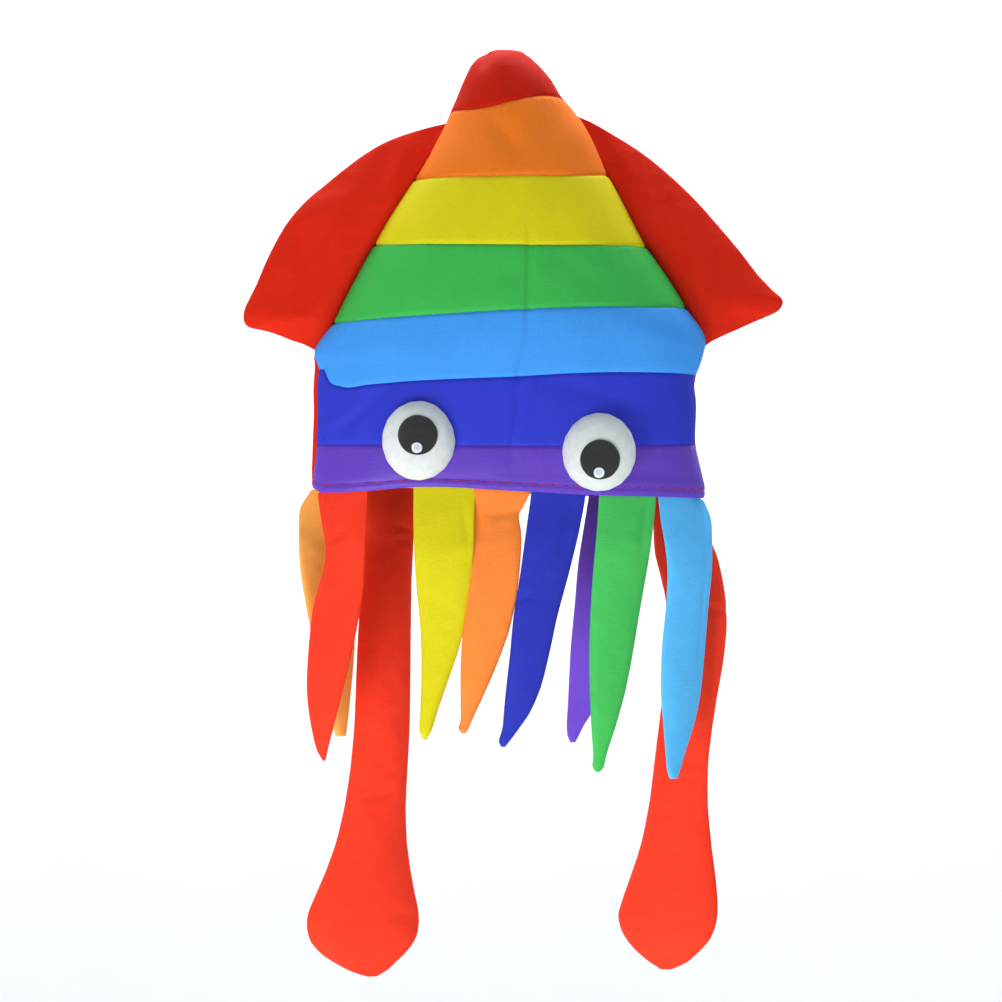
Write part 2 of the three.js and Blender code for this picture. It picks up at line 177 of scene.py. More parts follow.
soft_light("key_light", (-0.85, -1.05, -1.05), (0, 0, -0.05), 0.7, 20, (1, 0.985, 0.965))
soft_light("fill_light", (1.2, -1.6, -0.7), (0, 0, -0.15), 1.0, 5, (0.96, 0.98, 1))
soft_light("low_light", (0.1, -1.0, -1.4), (0, 0.05, -0.2), 0.6, 5, (1, 0.99, 0.98))
soft_light("wall_light_back", (0, 0.9, 1.9), (0, 3.2, -0.75), 2.0, 135, (1, 1, 1))
soft_light("wall_light_front", (0, -0.8, 2.3), (0, -3.2, 0.3), 2.0, 12, (1, 1, 1))
soft_light("wall_light_left", (-0.8, 0, 2.3), (-3.2, 0, 0.3), 2.0, 12, (1, 1, 1))
soft_light("wall_light_right", (0.8, 0, 2.3), (3.2, 0, 0.3), 2.0, 12, (1, 1, 1))
world = bpy.data.worlds.new("studio")
bpy.context.scene.world = world
world.use_nodes = True
world.node_tree.nodes["Background"].inputs["Color"].default_value = linear("f4f6fa")
world.node_tree.nodes["Background"].inputs["Strength"].default_value = 0.05
bpy.context.scene.view_settings.view_transform = "Standard"


# ---------------------------------------------------------------- the hat's body
# Seven stripes of foam-laminated polyester knit are sewn edge to edge to make the front. The back is
# one red panel. Each seam is turned inside, so it shows as a narrow groove with a slight pucker.
CLOTH = 4.0
# The outline's sides and depth are (height, distance) and the seams (across, height), in millimetres.
LEFT_EDGE = [(-6, -139), (5, -139), (22, -138.2), (37, -137.6), (58, -136.7), (76, -137), (88, -136),
             (98, -136.8), (118.5, -124), (146, -109.5), (173.5, -94.7), (219, -67.5), (258, -44.8),
             (266, -41.7), (275, -37.8), (285, -33.6), (292.6, -30.1), (300.3, -25.9), (304.8, -21.4),
             (307.6, -15.8), (309.4, -13.6), (310.5, -9.5)]
RIGHT_EDGE = [(-6, 136.6), (3, 136.7), (13, 134.3), (33, 130.1), (67, 129.6), (74, 128.9), (82, 130.1),
              (88, 132.4), (97, 135), (105, 136.6), (129.5, 123.3), (150, 110), (172, 95.4), (222, 68.7),
              (265.6, 45.5), (271.6, 40.6), (278.6, 34.8), (285.6, 30.8), (291.2, 26.6), (297.5, 21),
              (301.7, 16.8), (306.6, 11.2), (309.8, 4.5), (310.5, 0)]
DEPTH = [(-6, 45.5), (0, 46), (50, 52), (100, 57), (140, 56), (180, 51.5), (222, 43), (266, 32), (290, 24),
         (300, 18), (306, 11.5), (309.5, 5), (310.5, 0.6)]
HEM = [(-139, 3.4), (-134, 0.8), (-124, 0.2), (-96, 1.5), (-67, 3.7), (-47, 3.9), (-19, 2.4), (14, 0.5),
       (59, -1.9), (97, -2.6), (136.5, -3.8)]
BACK_HEM = [(-139, 3.4), (-60, 1), (0, -0.6), (60, -2.4), (136.5, -3.8)]
VIOLET_SEAM = [(-136, 33.3), (-60, 32.5), (0, 31.8), (60, 32), (131, 33.4)]
ROYAL_SEAM = [(-134, 86), (-130.5, 77.6), (-122.6, 73.6), (-100, 74.4), (-72, 76.2), (-34, 77.8), (7, 79.3),
              (40, 81.3), (97, 82.8), (115, 82.6), (130, 82)]
SKY_SEAM = [(-124, 118.5), (-94, 119.8), (-43, 122.4), (7.6, 125.1), (58, 127.3), (100, 128.2),
            (123, 129.4)]
GREEN_SEAM = [(-94.7, 173.4), (-81, 172.1), (-30, 170.1), (7.6, 169.8), (75, 171.1), (95.4, 171.9)]
YELLOW_SEAM = [(-67.5, 219.2), (-43, 217.9), (-5, 217.3), (47, 219.2), (68.7, 221.9)]
ORANGE_SEAM = [(-41.3, 267), (-28, 265.9), (-14, 267.2), (0, 270.3), (11.2, 272.9), (22.4, 274.9),
               (34.3, 275.9)]
TOP = [(-50, 310.5), (50, 310.5)]
CREASE = [(-4, -3.6), (31, 0), (48, 3), (79, 4.9), (104, 10.5), (129, 11.4), (180, 12.2), (205, 12.8)]
SEAM_TURN = 0.17        # radians that the left side seam is pulled round to the front below the shoulder
EDGE_STEPS = np.array([0, 0.35, 0.8, 1.4, 2.2, 3.4, 4.6, 5.8, 7, 9])
STITCH_ROW = 7          # the hem's topstitch runs along this row of points
# Grooves are (depth, width) in mm: between two stripes, at a side seam and under the topstitch.
SEAM_GROOVE, SIDE_GROOVE, STITCH_GROOVE = (1.1, 1.3), (1.6, 2.0), (0.6, 1.0)
PLUMPNESS, PLUMP_WITHIN = 0.7, 9        # a panel stands out this much, from this far inside its seams
PUCKER_HEIGHT, PUCKER_PITCH, PUCKER_REACH = 0.22, 8.5, 4.5
# The foam's own unevenness: (height, size) in mm of its broad and its small lumps.
BROAD_LUMPS, SMALL_LUMPS = (1.9, 62), (0.7, 24)
CREASE_DEPTH, CREASE_STEEP, CREASE_SHALLOW = 1.5, 1.3, 4.5      # and its width on either side
FILLED_TOP = 305        # the inner faces of the two panels that meet at the point stop here
# Folds of the front: middle across and up, lean in degrees, half length, half width and depth in mm.
FOLDS = [(-96, 62, 42, 30, 5.5, 1.5), (-112, 55, 30, 20, 4, -0.9), (62, 66, 165, 46, 6, 0.8),
         (18, 60, 80, 26, 7, 0.9), (-20, 146, 12, 40, 9, 0.8), (48, 150, 150, 40, 8, 0.9),
         (30, 200, 100, 26, 10, 0.9), (-4, 246, 128, 20, 9, 2.6), (26, 250, 60, 18, 9, 1.4),
         (-17, 303, 70, 9, 4.5, 2.4), (4, 292, 80, 16, 7, 1.2), (-30, 10, 4, 50, 5, 0.6),
         (88, 14, 176, 36, 5, 0.7), (-110, 105, 20, 22, 7, 0.8), (-60, 232, 60, 14, 6, 0.7)]


def curve_at(points, at):
    """A smooth curve through (position, value) points, read at any positions."""
    x, y = np.array(points, float).T
    slope = np.gradient(y, x) if len(x) > 2 else np.full(len(x), (y[-1] - y[0]) / (x[-1] - x[0]))
    at = np.clip(at, x[0], x[-1])
    i = np.clip(np.searchsorted(x, at, side="right") - 1, 0, len(x) - 2)
    span = x[i + 1] - x[i]
    t = (at - x[i]) / span
    ease = t * t * (3 - 2 * t)
    pulls = t * (1 - t) ** 2 * span * slope[i] + t * t * (t - 1) * span * slope[i + 1]
    return y[i] * (1 - ease) + y[i + 1] * ease + pulls


def body_point(angle, z):
    """The hat's outer surface before seams and folds. Angle pi is the left side, 3/2 pi the front."""
    left, right = curve_at(LEFT_EDGE, z), curve_at(RIGHT_EDGE, z)
    across = (left + right) / 2 + (right - left) / 2 * np.cos(angle)
    return np.stack([across, curve_at(DEPTH, z) * np.sin(angle), z + 0 * angle], -1)


def body_normal(angle, z):
    """The outward direction of that surface."""
    step = 0.02
    around = body_point(angle + step, z) - body_point(angle - step, z)
    up = body_point(angle, z + step) - body_point(angle, z - step)
    out = np.cross(around, up)
    return out / np.maximum(np.linalg.norm(out, axis=-1, keepdims=True), 1e-9)


def lumps(points, size, seed):
    """Smooth noise from -1 to 1 at points in millimetres."""
    flat = np.asarray(points, float).reshape(-1, 3) / size + seed * 7.31
    values = np.array([noise.noise(Vector(p)) for p in flat])
    return values.reshape(np.asarray(points).shape[:-1])


def dip(distance, depth, width):
    """A groove's depth at a distance from its middle."""
    return -depth * np.exp(-((distance / width) ** 2))


def fold_relief(x, z, fold):
    """The relief of a fold (middle across and up, lean in degrees, half length, half width, depth)."""
    across, high_up, lean, reach, width, depth = fold
    turn = math.radians(lean)
    dx, dz = x - across, z - high_up
    run, off = dx * math.cos(turn) + dz * math.sin(turn), dz * math.cos(turn) - dx * math.sin(turn)
    return dip(off, depth, width) * np.exp(-((run / reach) ** 4))


def seam_share(seam):
    """A seam's (x, z) points as (cosine of the angle, z), so that it follows the body's width."""
    shares = []
    for x, z in seam:
        left, right = curve_at(LEFT_EDGE, z), curve_at(RIGHT_EDGE, z)
        shares.append((float(np.clip((x - (left + right) / 2) / ((right - left) / 2), -1.2, 1.2)), z))
    return shares


def grid_faces(rows, columns, start=0, flip=False):
    """Quads of a grid whose vertices run row by row."""
    faces = []
    for r in range(rows - 1):
        for c in range(columns - 1):
            a = start + r * columns + c
            quad = (a, a + 1, a + columns + 1, a + columns)
            faces.append(quad[::-1] if flip else quad)
    return faces


def shell(outer, inner):
    """Points, faces and face materials of a closed panel between an outer and an inner grid."""
    rows, columns = outer.shape[:2]
    count = rows * columns
    points = np.concatenate([outer.reshape(-1, 3), inner.reshape(-1, 3)])
    faces = grid_faces(rows, columns)
    outside = len(faces)
    backing = grid_faces(rows, columns, count, flip=True)
    index = np.arange(count).reshape(rows, columns)
    rim = [*index[0], *index[1:, -1], *index[-1, -2::-1], *index[-2:0:-1, 0]]
    walls = [(rim[i], rim[i - 1], rim[i - 1] + count, rim[i] + count) for i in range(len(rim))]
    faces += walls + backing
    materials = [0] * (outside + len(walls)) + [1] * len(backing)
    return points, [tuple(int(v) for v in face) for face in faces], materials


def laminated_knit(name, colour, shade, grain=0.5, sheen=0.06, rough=0.62, shine=0.2):
    """Polyester knit on foam: fine slubs, a soft low sheen and slightly uneven dye."""
    material, tree = new_material(name)
    place = add_node(tree, "ShaderNodeTexCoord")
    mottle = add_node(tree, "ShaderNodeTexNoise", inputs={"Scale": 22.0, "Detail": 3.0, "Roughness": 0.6},
                      links={"Vector": (place, "Object")})
    speckle = add_node(tree, "ShaderNodeTexNoise", inputs={"Scale": 900.0, "Detail": 2.0},
                       links={"Vector": (place, "Object")})
    dye = add_node(tree, "ShaderNodeMix", {"data_type": "RGBA"},
                   {"A": linear(shade), "B": linear(colour)}, {"Factor": (mottle, "Fac")})
    flecks = add_node(tree, "ShaderNodeMapRange",
                      inputs={"From Min": 0.3, "From Max": 0.7, "To Min": 0.95, "To Max": 1.05},
                      links={"Value": (speckle, "Fac")})
    dyed = add_node(tree, "ShaderNodeVectorMath", {"operation": "MULTIPLY"},
                    links={0: (dye, "Result"), 1: (flecks, "Result")})
    # Courses of knit are 0.3 mm apart. They are drawn as slubs about 1 mm high so that they show.
    courses = add_node(tree, "ShaderNodeMapping", inputs={"Scale": (0.16, 0.16, 1.0)},
                       links={"Vector": (place, "Object")})
    slubs = add_node(tree, "ShaderNodeTexNoise", inputs={"Scale": 1000.0, "Detail": 2.0, "Roughness": 0.6},
                     links={"Vector": (courses, "Vector")})
    ribs = add_node(tree, "ShaderNodeMath", {"operation": "MULTIPLY_ADD"}, {1: 1.4},
                    {0: (slubs, "Fac"), 2: (speckle, "Fac")})
    bump = add_node(tree, "ShaderNodeBump", inputs={"Strength": grain, "Distance": 0.00025},
                    links={"Height": (ribs, "Value")})
    roughness = add_node(tree, "ShaderNodeMapRange", inputs={"To Min": rough, "To Max": rough + 0.2},
                         links={"Value": (speckle, "Fac")})
    shader = add_node(tree, "ShaderNodeBsdfPrincipled",
                      inputs={"IOR": 1.46, "Sheen Weight": sheen, "Sheen Roughness": 0.45,
                              "Sheen Tint": linear(colour), "Specular IOR Level": shine},
                      links={"Base Color": (dyed, "Vector"), "Roughness": (roughness, "Result"),
                             "Normal": (bump, "Normal")})
    add_node(tree, "ShaderNodeOutputMaterial", links={"Surface": (shader, "BSDF")})
    return material


knits = {
    # The back's and fins' red is painted a little darker than the arms' red: painted shade for cloth that
    # faces up, away from the low lights.
    "red": laminated_knit("red_laminated_knit", "e02a10", "d0200a", sheen=0.0, shine=0.1),
    # The point's red is the same knit as the back, painted darker: painted shade for the point, which faces
    # up and away from the low lights.
    "tip red painted shade": laminated_knit("red_knit_painted_shade_tip", "c8200a", "ba1b08", sheen=0.0, shine=0.1),
    "orange": laminated_knit("orange_laminated_knit", "f27c1e", "e8741a"),
    "yellow": laminated_knit("yellow_laminated_knit", "dfd412", "d4c80e"),
    "green": laminated_knit("green_laminated_knit", "3fbb52", "37ae4a"),
    "sky": laminated_knit("sky_blue_laminated_knit", "459ef2", "3c94ea"),
    "royal": laminated_knit("royal_blue_laminated_knit", "303bc8", "2a34bc"),
    "violet": laminated_knit("violet_laminated_knit", "5f35bc", "562eb0", sheen=0.3, rough=0.4, shine=0.5),
}
backing_knit = laminated_knit("undyed_backing_knit", "e9e4d8", "ddd6c8", grain=0.7)


def body_panel(name, node, colour, low, high, angles, columns, body_rows, closes=False, back=False):
    """One panel between a low and a high seam, with its grooves, puckers and folds."""
    start, end = angles
    share = np.linspace(0, 1, columns)
    # Columns crowd at the side seams and at the middle crease, which need them.
    share = share - 0.05 * np.sin(2 * np.pi * share) - 0.03 * np.sin(4 * np.pi * share)
    angle = start + (end - start) * share
    low_z = curve_at(seam_share(low), np.cos(angle))
    high_z = curve_at(seam_share(high), np.cos(angle))
    height = float(np.mean(high_z - low_z))
    near = EDGE_STEPS / height
    if closes:
        t = np.concatenate([near[:-1], np.sin(np.linspace(near[-1], 1, body_rows) * np.pi / 2)])
        t = np.unique(np.clip(t, 0, 1))
    else:
        t = np.concatenate([near[:-1], np.linspace(near[-1], 1 - near[-1], body_rows), 1 - near[:-1][::-1]])
    t = t[:, None]
    z = low_z * (1 - t) + high_z * t
    turned = np.broadcast_to(angle, z.shape).copy()
    pull = SEAM_TURN * np.clip((z - 1) / 24, 0, 1) ** 0.7 * np.clip((99 - z) / 12, 0, 1)
    left_end = 1 - np.abs(turned - np.pi) / np.pi
    turned += pull * np.clip(left_end, 0, 1) ** 6
    points, out = body_point(turned, z), body_normal(turned, z)
    below, above = z - low_z, high_z - z
    side = np.minimum(np.arange(columns), np.arange(columns)[::-1])
    arc = np.linalg.norm(np.diff(points[len(t) // 2], axis=0), axis=-1)
    along = np.concatenate([[0], np.cumsum(arc)])
    from_side = np.minimum(along, along[-1] - along)
    relief = dip(below, *SEAM_GROOVE)
    if not closes:
        relief = relief + dip(above, *SEAM_GROOVE)
    edge = below if closes else np.minimum(below, above)
    relief = np.minimum(relief, dip(from_side[None, :], *SIDE_GROOVE))
    relief = relief + PLUMPNESS * (1 - np.exp(-edge / PLUMP_WITHIN))
    pucker = np.sin(along[None, :] / PUCKER_PITCH * 2 * np.pi + 3 * lumps(points, 40, 2))
    pucker = pucker * np.exp(-edge / PUCKER_REACH)
    relief = relief + PUCKER_HEIGHT * pucker * np.clip(edge / 1.5, 0, 1)
    if low in (HEM, BACK_HEM):
        relief = relief + dip(below - EDGE_STEPS[STITCH_ROW], *STITCH_GROOVE)
    calm = np.clip(from_side / 25, 0, 1)[None, :] * np.clip((312 - z) / 30, 0.3, 1)
    relief = relief + calm * (BROAD_LUMPS[0] * lumps(points, BROAD_LUMPS[1], 1)
                              + SMALL_LUMPS[0] * lumps(points, SMALL_LUMPS[1], 5))
    if not back:
        off_crease = points[..., 0] - curve_at(CREASE, z)
        fade = np.clip((196 - z) / 34, 0, 1) * np.clip((z - 14) / 10, 0, 1)
        width = np.where(off_crease < 0, CREASE_STEEP, CREASE_SHALLOW)
        relief = relief + fade * dip(off_crease, CREASE_DEPTH, width)
        for fold in FOLDS:
            relief = relief + fold_relief(points[..., 0], z, fold)
    shut = np.clip((310.4 - z) / 6, 0, 1) if closes else 1
    outer = points + out * (relief * shut)[..., None]
    inner = points - out * CLOTH
    if closes:
        inner[..., 2] = np.minimum(inner[..., 2], FILLED_TOP)
    mesh_points, faces, face_materials = shell(outer, inner)
    piece = mesh_piece(name, mesh_points, faces, [knits[colour], backing_knit], face_materials)
    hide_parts(node)
    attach(piece, "hat_body")
    return piece, outer


FRONT = (np.pi, 2 * np.pi)
BACK = (0.0, np.pi)
FRONT_COLUMNS = 220
stripe_rows = [
    # The point's panel takes the red with painted shade.
    ("tip_front", "tip red painted shade", ORANGE_SEAM, TOP, 14),
    ("stripe_orange", "orange", YELLOW_SEAM, ORANGE_SEAM, 10),
    ("stripe_yellow", "yellow", GREEN_SEAM, YELLOW_SEAM, 10),
    ("stripe_green", "green", SKY_SEAM, GREEN_SEAM, 11),
    ("stripe_sky", "sky", ROYAL_SEAM, SKY_SEAM, 10),
    ("stripe_royal", "royal", VIOLET_SEAM, ROYAL_SEAM, 10),
    ("stripe_violet", "violet", HEM, VIOLET_SEAM, 7),
]
front_panels = {}
for node, colour, low, high, rows in stripe_rows:
    piece, outer = body_panel(node + "_cloth", node, colour, low, high, FRONT, FRONT_COLUMNS, rows,
                              closes=high is TOP)
    front_panels[node] = outer
back_cloth, back_outer = body_panel("back_panel_cloth", "back_panel", "red", BACK_HEM, TOP, BACK,
                                    110, 60, closes=True, back=True)


# ---------------------------------------------------------------- hem stitching and facing
# The hem is turned in and topstitched with red polyester thread, about 3 stitches to the centimetre.
# A plain cloth facing inside covers the sewn-in ends of the arms.
STITCH_PITCH, STITCH_LENGTH = 3.6, 3.0
THREAD_RADIUS = 0.34
THREAD_SIDES = 6
HEM_HALF_WIDE, HEM_HALF_DEEP = 137, 46
FACING_TOP = 36.0
FACING_DEPTH = 7.6      # from the body's outer face to the facing's middle
FACING_HALF = 0.6


def sewing_thread():
    """Spun polyester thread: two twisted plies with a dull shine."""
    material, tree = new_material("red_polyester_thread")
    place = add_node(tree, "ShaderNodeTexCoord")
    # The plies turn every 0.6 mm and are drawn every 0.9 mm.
    twist = add_node(tree, "ShaderNodeTexWave", {"bands_direction": "DIAGONAL"},
                     {"Scale": 1000 / 0.9 / 20, "Distortion": 0.5}, {"Vector": (place, "Object")})
    colour = add_node(tree, "ShaderNodeMix", {"data_type": "RGBA"},
                      {"A": linear("8a1410"), "B": linear("c62a20")}, {"Factor": (twist, "Fac")})
    bump = add_node(tree, "ShaderNodeBump", inputs={"Strength": 0.6, "Distance": 0.0002},
                    links={"Height": (twist, "Fac")})
    shader = add_node(tree, "ShaderNodeBsdfPrincipled", inputs={"Roughness": 0.6},
                      links={"Base Color": (colour, "Result"), "Normal": (bump, "Normal")})
    add_node(tree, "ShaderNodeOutputMaterial", links={"Surface": (shader, "BSDF")})
    return material


def stitch_row(name, line, outward, material):
    """Separate stitches along a line of points, each a short thread that dives in at both ends."""
    steps = np.concatenate([[0], np.cumsum(np.linalg.norm(np.diff(line, axis=0), axis=1))])
    stations = np.array([-0.5, -0.36, 0, 0.36, 0.5]) * STITCH_LENGTH
    rise = np.array([-0.5, 0.1, 0.22, 0.1, -0.5])
    points, faces = [], []
    for middle in np.arange(STITCH_PITCH, steps[-1] - STITCH_PITCH, STITCH_PITCH):
        at = middle + stations
        spots = np.stack([np.interp(at, steps, line[:, k]) for k in range(3)], -1)
        out = np.array([np.interp(middle, steps, outward[:, k]) for k in range(3)])
        out /= np.linalg.norm(out)
        run = spots[-1] - spots[0]
        run /= np.linalg.norm(run)
        side = np.cross(out, run)
        first = len(points)
        for spot, up in zip(spots, rise):
            for corner in range(THREAD_SIDES):
                turn = corner * 2 * math.pi / THREAD_SIDES
                points.append(spot + out * (up + THREAD_RADIUS * math.cos(turn))
                              + side * THREAD_RADIUS * math.sin(turn))
        faces += ring_faces(len(stations), THREAD_SIDES, first)
        last = first + (len(stations) - 1) * THREAD_SIDES
        faces.append(tuple(range(first + THREAD_SIDES - 1, first - 1, -1)))
        faces.append(tuple(range(last, last + THREAD_SIDES)))
    piece = mesh_piece(name, points, faces, [material])
    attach(piece, "hat_body")


thread = sewing_thread()
for name, outer, angles in (("hem_topstitch_front", front_panels["stripe_violet"], FRONT),
                            ("hem_topstitch_back", back_outer, BACK)):
    line = outer[STITCH_ROW]
    outward = np.stack([line[:, 0] / HEM_HALF_WIDE ** 2, line[:, 1] / HEM_HALF_DEEP ** 2, 0 * line[:, 0]], -1)
    stitch_row(name, line, outward, thread)


def plain_cloth(name, colour, shade):
    """Thin plain-woven lining: a tight grid of threads, nearly matt."""
    material, tree = new_material(name)
    place = add_node(tree, "ShaderNodeTexCoord")
    # Lining threads are 0.25 mm apart and are drawn 1 mm apart.
    warp = add_node(tree, "ShaderNodeTexWave", {"bands_direction": "X"}, {"Scale": 50.0, "Distortion": 0.8},
                    {"Vector": (place, "Object")})
    weft = add_node(tree, "ShaderNodeTexWave", {"bands_direction": "Z"}, {"Scale": 50.0, "Distortion": 0.8},
                    {"Vector": (place, "Object")})
    weave = add_node(tree, "ShaderNodeMath", {"operation": "MULTIPLY"},
                     links={0: (warp, "Fac"), 1: (weft, "Fac")})
    colour = add_node(tree, "ShaderNodeMix", {"data_type": "RGBA"},
                      {"A": linear(shade), "B": linear(colour)}, {"Factor": (weave, "Value")})
    bump = add_node(tree, "ShaderNodeBump", inputs={"Strength": 0.5, "Distance": 0.0002},
                    links={"Height": (weave, "Value")})
    shader = add_node(tree, "ShaderNodeBsdfPrincipled",
                      inputs={"Roughness": 0.8, "Sheen Weight": 0.15, "Specular IOR Level": 0.3},
                      links={"Base Color": (colour, "Result"), "Normal": (bump, "Normal")})
    add_node(tree, "ShaderNodeOutputMaterial", links={"Surface": (shader, "BSDF")})
    return material


lining = plain_cloth("plain_woven_lining", "efeae0", "d8d0c2")
turn = np.linspace(0, 2 * np.pi, 181)[None, :]
height = np.concatenate([[3.0, 3.6, 5.0], np.linspace(8, FACING_TOP - 2, 12),
                         [FACING_TOP - 0.6, FACING_TOP]])
height = height[:, None] + 0 * turn + 1.2 * np.clip(height[:, None] / 30, 0, 1) * np.sin(9 * turn + 1)
middle = body_point(turn + 0 * height, height)
out = body_normal(turn + 0 * height, height)
middle = middle - out * (FACING_DEPTH + 0.5 * np.sin(23 * turn) * np.clip(height / 30, 0, 1))[..., None]
points, faces, _ = shell(middle + out * FACING_HALF, middle - out * FACING_HALF)
facing = mesh_piece("hem_facing_band", points, faces, [lining])
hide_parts("hem_facing")
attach(facing, "hat_body")


# ---------------------------------------------------------------- inside of the crown
# Loose polyester fibre fills the point and holds it up. A cloth floor, gathered where it is sewn to the
# side of the crown, keeps the fibre off the head.
FLOOR_HEIGHT = 178.0
FLOOR_SAG = 7.0
FLOOR_HALF = 0.9
FIBRE_LOW, FIBRE_HIGH = 184.0, 302.0
FIBRE_RINGS, FIBRE_SEGMENTS = 40, 72


def fibre_fill():
    """Carded polyester fibre: a white tangle that scatters light."""
    material, tree = new_material("white_polyester_fibre")
    place = add_node(tree, "ShaderNodeTexCoord")
    tangle = add_node(tree, "ShaderNodeTexNoise", inputs={"Scale": 220.0, "Detail": 6.0, "Distortion": 2.5},
                      links={"Vector": (place, "Object")})
    colour = add_node(tree, "ShaderNodeMix", {"data_type": "RGBA"},
                      {"A": linear("d9dcdc"), "B": linear("fafafa")}, {"Factor": (tangle, "Fac")})
    bump = add_node(tree, "ShaderNodeBump", inputs={"Strength": 1.0, "Distance": 0.0012},
                    links={"Height": (tangle, "Fac")})
    shader = add_node(tree, "ShaderNodeBsdfPrincipled", inputs={"Roughness": 1.0, "Sheen Weight": 0.4},
                      links={"Base Color": (colour, "Result"), "Normal": (bump, "Normal")})
    add_node(tree, "ShaderNodeOutputMaterial", links={"Surface": (shader, "BSDF")})
    return material


turn = np.linspace(0, 2 * np.pi, 121)[None, :]
rho = np.concatenate([np.linspace(0.02, 0.9, 14), [0.94, 0.97, 1.0]])[:, None]
rim = body_point(turn, FLOOR_HEIGHT + 0 * turn) - body_normal(turn, FLOOR_HEIGHT + 0 * turn) * (CLOTH + 1)
disc = rim * rho[..., None]
gathers = 1.1 * np.sin(30 * turn + 2 * np.sin(3 * turn)) * rho ** 6
disc[..., 2] = FLOOR_HEIGHT - FLOOR_SAG * (1 - rho ** 2) + gathers + 2 * lumps(disc, 40, 6)
up = np.array([0, 0, FLOOR_HALF])
points, faces, _ = shell(disc - up, disc + up)
floor_cloth = mesh_piece("crown_floor_cloth", points, faces, [lining])
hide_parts("crown_liner")
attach(floor_cloth, "hat_body")

turn = np.linspace(0, 2 * np.pi, FIBRE_SEGMENTS, endpoint=False)[None, :]
height = np.linspace(FIBRE_LOW, FIBRE_HIGH, FIBRE_RINGS)[:, None]
ends = np.minimum((height - FIBRE_LOW) / 14, (FIBRE_HIGH - height) / 10)
pull = CLOTH + 2 + 12 * (1 - np.clip(ends, 0, 1)) ** 2
wad = body_point(turn + 0 * height, height)
out = body_normal(turn + 0 * height, height)
wad = wad - out * pull[..., None] * np.ones((1, FIBRE_SEGMENTS, 1))
wad = wad - out * (1.6 * np.abs(lumps(wad, 9, 8)))[..., None]
n = FIBRE_SEGMENTS
faces = ring_faces(FIBRE_RINGS, n)
faces += [tuple(range(n - 1, -1, -1)), tuple(range((FIBRE_RINGS - 1) * n, FIBRE_RINGS * n))]
stuffing = mesh_piece("crown_fibre", wad, faces, [fibre_fill()])
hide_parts("crown_filling")
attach(stuffing, "hat_body")


# ---------------------------------------------------------------- fins
# Two red fins are sewn into the sloping side seams. Each is a front and a back panel of the same knit,
# sewn together, turned and lightly stuffed, so it is fullest in its middle and thin at its seam.
FIN_ROOT_LOW, FIN_ROOT_HIGH = 99.0, 261.0
FIN_TUCK = 2.5          # the root lies this far inside the body's side seam
FIN_ROOT_HALF = 3.0
FIN_EDGE_HALF = 1.3
FIN_SWEEP = 10.0        # the free edge lies this far behind the seam
FIN_FULLNESS = 8.5      # half its thickness before the fibre swells it
FIN_ROWS, FIN_COLUMNS = 76, 22
# Each fin's edge from its lower corner to its top, across and up in millimetres.
FIN_EDGES = {
    "left": [(-136.5, 100), (-143.5, 103.6), (-154, 107.1), (-164.5, 111), (-173.3, 113.8), (-182, 115.5),
             (-186.4, 116.6), (-188.7, 119.4), (-189.5, 123.9), (-188.7, 129), (-185.5, 136),
             (-180.3, 146.5), (-173.3, 163.1), (-166.3, 177.1), (-159.3, 189), (-152.3, 198.1),
             (-143.5, 207.3), (-131.3, 217.4), (-117.3, 228.4), (-98, 241.6), (-87.5, 247.1),
             (-78.8, 250.4), (-68.3, 253.6),
             (-56, 256.7), (-45, 259)],
    "right": [(136.5, 104), (147, 108.9), (161, 115), (175, 121.1), (185.5, 125.5), (191, 128.3),
              (193.4, 131.5), (194.3, 135), (187.3, 142.1), (175, 155.2), (164.5, 169), (148.8, 187.6),
              (133, 205.1), (110.3, 226.1), (94.5, 238.4), (70, 253.2), (56, 260.7), (45, 265)],
}
STUFFING_FRAMES = 20


def smoothed(points, count):
    """Points at even steps along a polyline, with its bends eased."""
    line = np.array(points, float)
    steps = np.concatenate([[0], np.cumsum(np.linalg.norm(np.diff(line, axis=0), axis=1))])
    at = np.linspace(0, steps[-1], count)
    return np.stack([curve_at(list(zip(steps, line[:, k])), at) for k in range(line.shape[1])], -1)


def pillow(name, front, back, material):
    """A closed cover of two grids that share their first and last columns, and its points in a row."""
    rows, columns = front.shape[:2]
    ring = np.concatenate([front, back[:, -2:0:-1]], axis=1)
    size = ring.shape[1]
    faces = ring_faces(rows, size)
    for r in (0, rows - 1):
        for c in range(columns - 1):
            other = [(size - c) % size, size - c - 1]
            cap = (r * size + c, r * size + c + 1, r * size + other[1], r * size + other[0])
            cap = tuple(dict.fromkeys(cap))
            faces.append(cap[::-1] if r == 0 else cap)
    return mesh_piece(name, ring, faces, [material]), size


